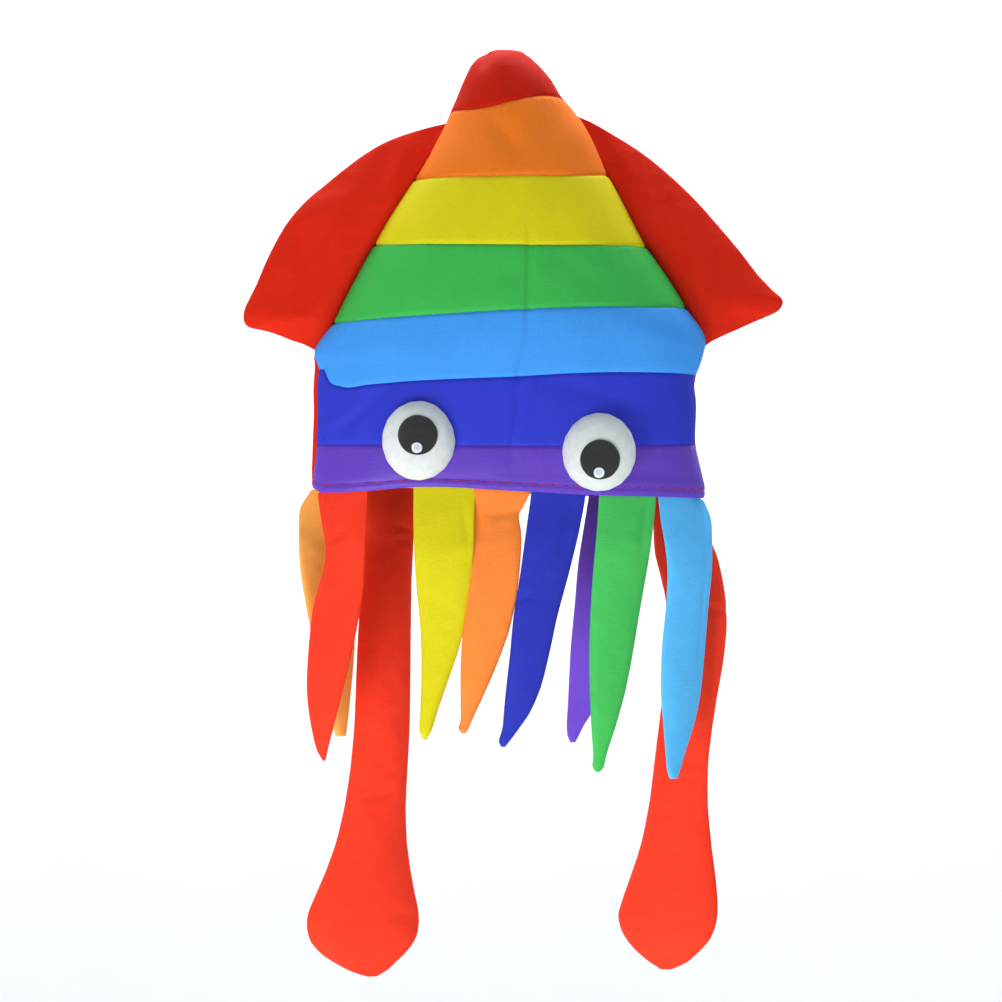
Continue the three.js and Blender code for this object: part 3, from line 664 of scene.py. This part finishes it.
def stuffed(piece, held, pressure, most, slack):
    """Fills a sewn cover by a cloth simulation. The held points stay, and none moves more than most."""
    mesh = piece.data
    start = np.empty(len(mesh.vertices) * 3)
    mesh.vertices.foreach_get("co", start)
    piece.vertex_groups.new(name="seam").add([int(v) for v in held], 1.0, "REPLACE")
    cloth = piece.modifiers.new("stuffing", "CLOTH")
    cloth.settings.vertex_group_mass = "seam"
    cloth.settings.quality = 5
    cloth.settings.mass = 0.25
    cloth.settings.tension_stiffness = 12
    cloth.settings.compression_stiffness = 12
    cloth.settings.shear_stiffness = 6
    cloth.settings.bending_stiffness = 3
    cloth.settings.shrink_min = -slack
    cloth.settings.use_pressure = True
    cloth.settings.uniform_pressure_force = pressure
    cloth.settings.effector_weights.gravity = 0
    cloth.collision_settings.use_collision = False
    cloth.collision_settings.use_self_collision = False
    for number in range(1, STUFFING_FRAMES + 1):
        bpy.context.scene.frame_set(number)
    shaped = piece.evaluated_get(bpy.context.evaluated_depsgraph_get())
    end = np.empty_like(start)
    shaped.data.vertices.foreach_get("co", end)
    bpy.context.scene.frame_set(1)
    move = (end - start).reshape(-1, 3)
    length = np.linalg.norm(move, axis=1, keepdims=True)
    move *= np.minimum(1, most / np.maximum(length, 1e-9))
    piece.modifiers.remove(cloth)
    mesh.vertices.foreach_set("co", (start.reshape(-1, 3) + move).ravel())
    mesh.update()


def subdivided(piece):
    """Smooths a piece's mesh by one subdivision."""
    smooth = piece.modifiers.new("smooth", "SUBSURF")
    smooth.levels = smooth.render_levels = 1
    shaped = piece.evaluated_get(bpy.context.evaluated_depsgraph_get())
    mesh = bpy.data.meshes.new_from_object(shaped)
    piece.modifiers.remove(smooth)
    piece.data = mesh
    mesh.polygons.foreach_set("use_smooth", np.ones(len(mesh.polygons), bool))


def joint_line(name):
    """A joint's place and axis."""
    joint = next(j for j in frame["joints"] if j["name"] == name)
    return Vector(joint["pos_m"]), Vector(joint["axis"]).normalized()


for side in ("left", "right"):
    flip = -1 if side == "left" else 1
    edge = smoothed(FIN_EDGES[side], FIN_ROWS)
    root_z = np.linspace(FIN_ROOT_LOW, FIN_ROOT_HIGH, FIN_ROWS)
    root_x = curve_at(LEFT_EDGE if side == "left" else RIGHT_EDGE, root_z)
    place, axis = joint_line(f"fin_{side}_seam")
    out = Vector((0, -1, 0)).cross(axis).normalized()
    if out.x * flip < 0:
        out = -out
    root = np.stack([root_x, root_z], -1) - FIN_TUCK * np.array([out.x, out.z])
    across = np.linspace(0, 1, FIN_COLUMNS)
    across = across + 0.06 * np.sin(2 * np.pi * across)
    flat = root[:, None, :] * (1 - across[None, :, None]) + edge[:, None, :] * across[None, :, None]
    row = np.linspace(0, 1, FIN_ROWS)[:, None]
    reach = np.linalg.norm(edge - root, axis=1)[:, None]
    full = np.sin(np.pi * np.clip(row, 0, 1)) ** 0.5 * np.clip(reach / 60, 0.1, 1)
    half = (FIN_ROOT_HALF * (1 - across) ** 2 * np.minimum(1, full * 3) + FIN_EDGE_HALF * 0.6
            + FIN_FULLNESS * full * np.sin(np.pi * across[None, :] ** 0.66) ** 0.75)
    half[:, -1] = 0
    half[:, 0] = np.minimum(half[:, 0], FIN_ROOT_HALF)
    centre = np.stack([flat[..., 0], 0 * flat[..., 0], flat[..., 1]], -1)
    centre[..., 1] += FIN_SWEEP * across[None, :] ** 1.3 * np.clip(reach / 60, 0, 1)
    front, back = centre.copy(), centre.copy()
    front[..., 1] -= half
    back[..., 1] += half
    front[:, 0, 1] = back[:, 0, 1] = 0
    # The fins take the red with painted shade.
    fin, size = pillow(f"fin_{side}_cover", front, back, knits["red"])
    ids = np.arange(FIN_ROWS * size).reshape(FIN_ROWS, size)
    held = set(ids[:, 0]) | set(ids[:, FIN_COLUMNS - 1]) | set(ids[0]) | set(ids[-1]) | set(ids[:, 1])
    stuffed(fin, held | set(ids[:, -1]), pressure=1.6, most=6 * MM, slack=0.004)
    subdivided(fin)
    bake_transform(fin)
    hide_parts(f"fin_{side}_front", f"fin_{side}_back", f"fin_{side}_filling")


# ---------------------------------------------------------------- eyes
# Each eye is a disc of white craft felt gathered over a ball of fibre and sewn to the front. The pupil
# is a black felt disc glued on it, and the highlight a small white disc glued on the pupil.
EYES = {
    # centre across and up, half width and half height, pupil's and highlight's offset, in millimetres
    "left": ((-62.6, 35.7), (24.8, 27.1), (0.5, 4.0), (0.1, -4.6)),
    "right": ((60.6, 28), (25.3, 26.7), (-0.3, -5.1), (-1.1, -14.0)),
}
EYE_PROUD = 15.0
EYE_TILT = 0.25         # the eyes look ahead, and hardly lean with the cloth they are sewn to
PUPIL_RADIUS = 13.6
HIGHLIGHT_RADIUS = 3.65
EYE_RINGS, EYE_SEGMENTS = 34, 120
DISC_SEGMENTS = 48
GLUED_RINGS = 6         # the highlight is pressed flat over this many of its rings


def felt(name, colour, shade, fuzz=0.8):
    """Craft felt: matted fibres that give a soft uneven face with no weave."""
    material, tree = new_material(name)
    place = add_node(tree, "ShaderNodeTexCoord")
    fibres = add_node(tree, "ShaderNodeTexNoise",
                      inputs={"Scale": 1300.0, "Detail": 4.0, "Distortion": 1.5},
                      links={"Vector": (place, "Object")})
    clumps = add_node(tree, "ShaderNodeTexNoise", inputs={"Scale": 160.0, "Detail": 4.0},
                      links={"Vector": (place, "Object")})
    both = add_node(tree, "ShaderNodeMath", {"operation": "MULTIPLY_ADD"}, {1: 1.6},
                    {0: (clumps, "Fac"), 2: (fibres, "Fac")})
    tone = add_node(tree, "ShaderNodeMapRange", inputs={"From Min": 0.9, "From Max": 1.7},
                    links={"Value": (both, "Value")})
    colour = add_node(tree, "ShaderNodeMix", {"data_type": "RGBA"},
                      {"A": linear(shade), "B": linear(colour)}, {"Factor": (tone, "Result")})
    bump = add_node(tree, "ShaderNodeBump", inputs={"Strength": fuzz, "Distance": 0.0006},
                    links={"Height": (both, "Value")})
    shader = add_node(tree, "ShaderNodeBsdfPrincipled",
                      inputs={"Roughness": 0.95, "IOR": 1.5, "Specular IOR Level": 0.2,
                              "Sheen Weight": 0.3, "Sheen Roughness": 0.6},
                      links={"Base Color": (colour, "Result"), "Normal": (bump, "Normal")})
    add_node(tree, "ShaderNodeOutputMaterial", links={"Surface": (shader, "BSDF")})
    return material


white_felt = felt("white_craft_felt", "e8ecea", "d8dfdc")
black_felt = felt("black_craft_felt", "242826", "1b1e1d", fuzz=0.4)
highlight_felt = felt("white_felt_dot", "eef3f6", "d6dee4")
glue_spot = felt("white_felt_dot_pressed_middle", "c3d2dc", "b4c4cf", fuzz=0.3)


def front_spot(x, z):
    """The body's outer point in front at x and z, and the outward direction there."""
    left, right = curve_at(LEFT_EDGE, z), curve_at(RIGHT_EDGE, z)
    share = np.clip((x - (left + right) / 2) / ((right - left) / 2), -1, 1)
    angle = 2 * np.pi - np.arccos(share)
    return body_point(angle, z), body_normal(angle, z)


def eye_height(share):
    """The eye's height over its base, as a share of its greatest, at a share of its radius."""
    return np.sqrt(np.clip(1 - np.clip(share, 0, 1) ** 2.3, 0, 1))


def eye_surface(eye, u, w):
    """A point on the eye at (u, w) millimetres from its middle, and how far it stands out."""
    (cx, cz), (half_wide, half_high), _, _ = eye
    base, out = front_spot(cx, cz)
    out = out * EYE_TILT + np.array([0, -1, 0]) * (1 - EYE_TILT)
    out /= np.linalg.norm(out)
    right = np.cross([0, 0, 1], -out)
    right /= np.linalg.norm(right)
    right = -right if right[0] < 0 else right
    up = np.cross(right, out)
    up = up if up[2] > 0 else -up
    share = np.hypot(u / half_wide, w / half_high)
    height = EYE_PROUD * eye_height(share)
    return (base + right * u[..., None] + up * w[..., None] + out * (height - 1.0)[..., None]), out, share


def felt_disc(name, eye, offset, radius, thickness, lift, materials, wobble, seed):
    """A thin disc with a rounded edge that lies on the eye."""
    rho = np.concatenate([np.linspace(0, 0.9, 9), [0.96, 1.0, 1.0, 0.96, 0.5]])
    raised = np.concatenate([np.ones(9), [0.93, 0.7, 0.1, -0.3, -0.3]]) * thickness + lift
    n = DISC_SEGMENTS
    turn = np.linspace(0, 2 * np.pi, n, endpoint=False)
    ragged = 1 + wobble * np.array([noise.noise(Vector((math.cos(a) * 2, math.sin(a) * 2, seed)))
                                    for a in turn])
    u = offset[0] + radius * rho[1:, None] * (np.cos(turn) * ragged)[None, :]
    w = offset[1] + radius * rho[1:, None] * (np.sin(turn) * ragged)[None, :]
    rings, out, _ = eye_surface(eye, u, w)
    rings = rings + out * raised[1:, None, None]
    middle, out, _ = eye_surface(eye, np.array([offset[0]]), np.array([offset[1]]))
    points = np.concatenate([middle + out * raised[0], rings.reshape(-1, 3)])
    faces = [(0, 1 + c, 1 + (c + 1) % n) for c in range(n)] + ring_faces(len(rho) - 1, n, 1, flip=True)
    last = 1 + (len(rho) - 2) * n
    faces.append(tuple(range(last, last + n)))
    # With a second material, the disc's middle has it.
    inner = n * (GLUED_RINGS - 1) if len(materials) > 1 else 0
    return mesh_piece(name, points, faces, materials, [1] * inner + [0] * (len(faces) - inner))


for side, eye in EYES.items():
    ring = np.sin(np.linspace(0, np.pi / 2, EYE_RINGS))[1:]
    turn = np.linspace(0, 2 * np.pi, EYE_SEGMENTS, endpoint=False)
    # The gathered edge pulls in at the stitches and bulges between them.
    gather = 0.005 * np.sin(turn * 17 + (2 if side == "left" else 5))
    uneven = np.array([noise.noise(Vector((math.cos(a) * 1.3, math.sin(a) * 1.3, len(side))))
                       for a in turn])
    outline = 1 + 0.014 * uneven
    rho = ring[:, None] * np.ones_like(turn)[None, :]
    swell = outline[None, :] * (1 + gather[None, :] * rho ** 8)
    u = eye[1][0] * rho * np.cos(turn)[None, :]
    w = eye[1][1] * rho * np.sin(turn)[None, :]
    grid, out, _ = eye_surface(eye, u, w)
    spread = eye[1][0] * rho * (swell - 1)
    radial = np.stack([np.cos(turn), 0 * turn, np.sin(turn)], -1)
    grid = grid + radial[None] * spread[..., None]
    grid = grid + out * (0.45 * lumps(grid, 13, 3) * (1 - rho ** 6))[..., None]
    # Below its widest ring the felt turns under to the stitched ring.
    under = []
    for drop, pull in ((1.6, 0.0), (3.2, 0.8), (4.6, 2.4), (5.6, 5.0), (6.0, 10.0)):
        under.append(grid[-1] - out * drop - radial * pull)
    middle, _, _ = eye_surface(eye, np.array([0.0]), np.array([0.0]))
    everything = np.concatenate([middle, grid.reshape(-1, 3), np.array(under).reshape(-1, 3)])
    everything = everything + out * 3.0
    # The stitched ring follows the cloth that it is sewn to.
    sewn = everything[-2 * EYE_SEGMENTS:]
    sewn[:, 1] = front_spot(sewn[:, 0], sewn[:, 2])[0][:, 1] + np.repeat([0.2, 1.2], EYE_SEGMENTS)
    n = EYE_SEGMENTS
    faces = [(0, 1 + c, 1 + (c + 1) % n) for c in range(n)]
    faces += ring_faces(EYE_RINGS - 1 + len(under), n, 1, flip=True)
    last = 1 + (EYE_RINGS - 2 + len(under)) * n
    faces.append(tuple(range(last, last + n)))
    cover = mesh_piece(f"eye_{side}_felt_ball", everything, faces, [white_felt])
    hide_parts(f"eye_{side}_cover", f"eye_{side}_filling")
    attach(cover, "hat_body")
    pupil = felt_disc(f"eye_{side}_black_disc", eye, eye[2], PUPIL_RADIUS, 1.1, 3.1, [black_felt], 0.02, 4)
    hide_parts(f"eye_{side}_pupil")
    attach(pupil, "hat_body")
    dot = felt_disc(f"eye_{side}_white_dot", eye, eye[3], HIGHLIGHT_RADIUS, 0.8, 4.3,
                    [highlight_felt, glue_spot], 0.04, 9)
    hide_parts(f"eye_{side}_highlight")
    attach(dot, "hat_body")


# ---------------------------------------------------------------- arms
# Eight short arms are sewn into the hem, six in front and two behind. Each is two claw-shaped panels of
# the laminated knit, sewn together round the edge and turned out through the top, with no stuffing.
ARM_HALF = 4.6
ARM_TIP_HALF = 1.6
ROOT_HALF = 1.3
ROOT_OVAL = (131.4, 40.0)   # the roots run up inside the hem, between its cloth and its facing
ROOT_TOP = 8.0
ROW_GAP = 2.6
ARM_COLUMNS = 21
# For each arm, from its root to its tip: height, left edge and right edge, in millimetres.
ARMS = {
    "red": ("arm red painted light", [(0, -134.5, -98.6), (-8, -133.5, -98.9), (-18, -132, -99.5), (-30, -130, -100.1),
                    (-42, -129, -100.9), (-54, -131, -101.6), (-66, -134.5, -102.4), (-80, -138, -104.2),
                    (-105, -140.2, -108.4), (-140, -140.5, -115.7), (-165, -136.7, -122.1),
                    (-181, -132.2, -126.4), (-186, -129, -127.6)]),
    "yellow": ("yellow", [(0, -66.6, -23.8), (-10, -66.5, -24.2), (-40, -65.8, -24.9), (-65, -64.3, -26.9),
                          (-90, -62, -30.8), (-110, -61.2, -36.1), (-130, -61.1, -43), (-150, -61.7, -49.8),
                          (-165, -61.6, -54.8), (-169.3, -59.4, -57.6)]),
    "orange": ("arm orange painted light", [(0, -26.1, 13.6), (-4, -26.1, 12), (-10, -26.1, 8.9), (-15, -26.1, 6),
                          (-19, -26.1, 6.3), (-26, -26.1, 7.6), (-50, -27.4, 6.9), (-75, -30.1, 3.8),
                          (-95, -32.6, -0.8), (-120, -34.1, -9.9), (-145, -34.1, -21), (-158, -34.4, -27),
                          (-162, -35.8, -28.6), (-165, -33.5, -30.6)]),
    "navy": ("navy", [(0, 14.4, 52.2), (-8, 13.4, 51), (-25, 11, 47.8), (-55, 6.9, 40.5), (-85, 2, 32.2),
                      (-110, -0.4, 26.7), (-135, -3.2, 20.2), (-152, -4.7, 12.5), (-162, -5.6, 5.5),
                      (-166, -6.8, 2.6), (-170, -8, -0.4), (-173.8, -6.2, -3.4)]),
    "green": ("arm green painted light", [(0, 61.2, 101.5), (-20, 59.9, 99.3), (-50, 57.6, 95.4), (-80, 55.7, 90.2),
                        (-110, 54.4, 84.8), (-135, 54.4, 79.4), (-160, 55.1, 72.1), (-176, 56.1, 66.6),
                        (-182, 56.4, 64.9), (-186, 55.8, 64.2), (-189.6, 56.6, 62.8),
                        (-191.4, 58.4, 60.6)]),
    "sky": ("arm sky painted light", [(0, 102, 133.6), (-6, 102.3, 135.3), (-18, 103, 139.4), (-30, 104.8, 139.9),
                    (-50, 107.3, 139.7), (-75, 107.5, 138), (-110, 105.4, 136.3), (-145, 105.2, 132.3),
                    (-160, 106.1, 128.3), (-180, 107, 120.8), (-194, 108.3, 115.8),
                    (-197.3, 109.6, 114.4)]),
    "amber": ("amber", [(0, -141, -114.4), (-4, -144, -114.3), (-10, -147.4, -114.2), (-25, -148, -113.8),
                        (-50, -146.3, -112.2), (-80, -141.3, -109.6), (-110, -136.2, -109.8),
                        (-145, -130.7, -114.1), (-165, -126.6, -116.9), (-172, -124, -118)]),
    "purple": ("purple", [(0, 56.6, 95.8), (-20, 53.6, 95.1), (-50, 49.2, 92.5), (-80, 46.4, 88.6),
                          (-110, 43.3, 82.5), (-135, 41.9, 72.2), (-155, 41, 59.9), (-167, 40.5, 52.3),
                          (-174, 41.2, 49), (-178.5, 43.2, 46.6)]),
}
# The arms' red, orange, green and sky blue are lighter copies of the body's knits, the same cloth: painted
# light, for the low lamps light the hanging arms more than the body.
knits["arm red painted light"] = laminated_knit("red_knit_painted_light", "fb3c20", "ee361c")
knits["arm orange painted light"] = laminated_knit("orange_knit_painted_light", "ff8c3a", "fa8636")
knits["arm green painted light"] = laminated_knit("green_knit_painted_light", "4cc860", "44be58")
knits["arm sky painted light"] = laminated_knit("sky_blue_knit_painted_light", "5ec2fc", "54b8f4")
knits["navy"] = laminated_knit("navy_laminated_knit", "2e3abc", "2832ac")
# The back arm's amber is painted lighter still: painted light against the shade it hangs in behind the red
# arm and the hem.
knits["amber"] = laminated_knit("amber_knit_painted_light", "ffb256", "ffaa4c")
# The back purple arm is painted lighter: painted light against the shade of the front arms and the hem that
# falls on it.
knits["purple"] = laminated_knit("purple_knit_painted_light", "7850da", "6e48d0")


def hanging_cover(name, joint, rows, colour, halves, seed, nudge=0.0, side_seam=None, creases=()):
    """A flat cover that hangs from the hem. Rows are (height, left, right), halves its half thickness."""
    place, axis = joint_line(joint)
    place = np.array(place) / MM
    along = -np.array(axis)
    out = np.cross(np.array(axis), [0, 0, -1])
    lowest = rows[-1][0]
    table = np.array(rows, float)
    heights = [(h, a) for h, a, _ in rows[::-1]], [(h, b) for h, _, b in rows[::-1]]
    drops = np.arange(0, -lowest - 6, ROW_GAP)
    tip = -lowest - 6 * (1 - np.sin(np.linspace(0, np.pi / 2, 6)))
    z = np.concatenate([[ROOT_TOP, ROOT_TOP * 0.6, ROOT_TOP * 0.25], -drops, -tip])
    z = np.unique(z)[::-1]
    left = np.interp(z, table[::-1, 0], table[::-1, 1])
    right = np.interp(z, table[::-1, 0], table[::-1, 2])
    soft_left, soft_right = curve_at(heights[0], z), curve_at(heights[1], z)
    left, right = (left + 3 * soft_left) / 4, (right + 3 * soft_right) / 4
    column = np.sin(np.linspace(-1, 1, ARM_COLUMNS) * np.pi / 2)[None, :]
    x = (left + right)[:, None] / 2 + (right - left)[:, None] / 2 * column
    t = (x - place[0]) / along[0]
    half = curve_at(halves, -z)[:, None]
    width = (right - left)[:, None] / 2 / abs(along[0])
    half = np.minimum(half, width * 0.8 + 0.4)
    body = half * (1 - np.abs(column) ** 2.6) ** 0.55
    middle = place[None, None, :2] + along[None, None, :2] * t[..., None]
    # At the hem the root lies along the hem's own curve, and below it the arm hangs flat.
    beside = np.clip(x, -0.985 * ROOT_OVAL[0], 0.985 * ROOT_OVAL[0])
    deep = math.copysign(ROOT_OVAL[1], place[1]) * np.sqrt(1 - (beside / ROOT_OVAL[0]) ** 2)
    hug = np.clip((z + 42) / 39, 0, 1)[:, None]
    hug = hug * hug * (3 - 2 * hug)
    middle[..., 1] = middle[..., 1] * (1 - hug) + deep * hug
    inside = np.clip((z[:, None] - curve_at(HEM, x) + 1) / 2.5, 0, 1)
    middle[..., 0] = middle[..., 0] * (1 - inside) + beside * inside
    base = np.concatenate([middle, np.broadcast_to(z[:, None, None], (*x.shape, 1))], -1)
    sway = 2.2 * np.sin(z / 34 + seed)[:, None] * np.clip(-z / 60, 0, 1)[:, None]
    offset = nudge * np.clip(-z / 12, 0, 1)[:, None] + sway
    slack = np.clip(-z / 20, 0, 1)[:, None]
    faces = []
    for side in (1, -1):
        point = base + out * (offset + side * body)[..., None]
        ripple = 1.3 * lumps(point * [1, 1, 0.6], 30, seed)
        ripple = ripple + 0.45 * lumps(point * [1, 1, 1.4], 11, seed + 3)
        seam = 1 - np.abs(column)
        ripple = ripple * np.clip(seam * 4, 0, 1) * slack
        if side_seam:
            fade = np.clip((z + 135) / 40, 0, 1)[:, None]
            ripple = ripple + dip(right[:, None] - side_seam - x, 1.0, 1.3) * fade
        for crease in creases:
            ripple = ripple + fold_relief(x, z[:, None], crease)
        pucker = 0.25 * np.sin(z[:, None] / 7.5 * 2 * np.pi + seed) * np.exp(-seam * 7) * slack
        faces.append(point + out * (side * (ripple + pucker * np.clip(seam * 8, 0, 1)))[..., None])
    front, back = faces
    back[:, 0], back[:, -1] = front[:, 0], front[:, -1]
    if out[1] > 0:
        front, back = back, front
    # The grid runs left to right and downwards, and the first side faces the front.
    cover, size = pillow(name, front[::-1], back[::-1], knits[colour])
    return cover, size, Vector(place * MM)


# Small folds: middle across and up, lean in degrees, half length, half width and depth in millimetres.
CREASES = {
    "red": [(-125, -33, 22, 12, 2.2, 1.7), (-121, -27, 14, 10, 2.0, 1.2), (-112, -60, 84, 26, 3.5, 1.2)],
    "yellow": [(-30, -22, 96, 16, 2.4, 1.0)],
    "orange": [(-4, -14, 8, 12, 2.4, 1.2), (-21, -30, 84, 18, 2.6, 1.0)],
    "navy": [(38, -26, 76, 20, 3.0, 1.6), (8, -72, 20, 8, 2.4, 1.2)],
    "green": [(92, -24, 82, 20, 3.0, 1.2)],
    "left": [(-76, -25, -14, 8, 2.2, 2.0), (-74, -33, 10, 8, 2.2, 1.2)],
    "right": [(146, -82, -4, 9, 2.0, 1.6)],
}
FORWARD = {"yellow": 1.2, "orange": -1.6, "sky": 0.8}     # keeps neighbours that overlap apart
SIDE_SEAMS = {"sky": 6}     # its front panel is pieced this far inside its right edge
ARM_HALVES = [(-8, ROOT_HALF), (0, ROOT_HALF + 0.3), (24, 2.6), (60, ARM_HALF), (110, ARM_HALF),
              (165, 3.2), (200, ARM_TIP_HALF)]
for number, (arm, (colour, rows)) in enumerate(ARMS.items()):
    cover, size, place = hanging_cover(f"arm_{arm}_cover", f"arm_{arm}_root", rows, colour, ARM_HALVES,
                                       number * 1.7, nudge=FORWARD.get(arm, 0.0),
                                       side_seam=SIDE_SEAMS.get(arm), creases=CREASES.get(arm, ()))
    subdivided(cover)
    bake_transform(cover)
    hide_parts(f"arm_{arm}_outer", f"arm_{arm}_inner")


# ---------------------------------------------------------------- tentacles
# Two long red tentacles hang from the back of the hem. Each is two panels sewn, turned and stuffed with
# fibre: a slim stem that widens into a five-sided paddle.
TENTACLES = {
    "left": [(0, -105.2, -68.6), (-30, -104.9, -68.4), (-70, -106.4, -70.0), (-120, -109.3, -71.2),
             (-170, -111.3, -71.8), (-200, -113.9, -73), (-225, -117.7, -73.7), (-250, -123.7, -72.7),
             (-270, -131.1, -70.2), (-285, -137.7, -67.7), (-297, -142.8, -65.4), (-306, -144, -65),
             (-318, -141, -67.4), (-327, -133, -74), (-334, -123, -81.5), (-340, -112, -88.5),
             (-343.6, -102, -95)],
    "right": [(0, 101.6, 131), (-14, 101.6, 133.5), (-28, 102, 138.5), (-43, 102.8, 144.6),
              (-60, 106.4, 148.2), (-75, 109.6, 150.4), (-95, 111, 151.3), (-115, 110.4, 150),
              (-150, 108.4, 145.3), (-190, 103.7, 140.4), (-220, 99.4, 139.5), (-250, 92.9, 141.4),
              (-275, 85, 144),
              (-293, 79.2, 145.1), (-302, 77, 144.4), (-315, 80.6, 140), (-325, 88.6, 132),
              (-333, 99, 123.5), (-337.6, 107, 115)],
}
TENTACLE_HALVES = [(-8, 1.3), (0, 1.8), (14, 4.4), (36, 6.4), (190, 6.4), (250, 8.4), (295, 10.4),
                   (318, 8.4), (332, 5), (344, 1.5)]
PADDLE_TIP_ROWS = 12
for side, rows in TENTACLES.items():
    # The tentacles take the arms' red with painted light.
    cover, size, place = hanging_cover(f"tentacle_{side}_cover", f"tentacle_{side}_root", rows, "arm red painted light",
                                       TENTACLE_HALVES, 11 + len(side), creases=CREASES[side])
    count = len(cover.data.vertices) // size
    ids = np.arange(count * size).reshape(count, size)
    held = set(ids[-PADDLE_TIP_ROWS:].ravel()) | set(ids[0]) | set(ids[:, 0]) | set(ids[:, ARM_COLUMNS - 1])
    stuffed(cover, held, pressure=2.0, most=5 * MM, slack=0.002)
    subdivided(cover)
    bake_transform(cover)
    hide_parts(f"tentacle_{side}_outer", f"tentacle_{side}_inner", f"tentacle_{side}_filling")


low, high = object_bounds()
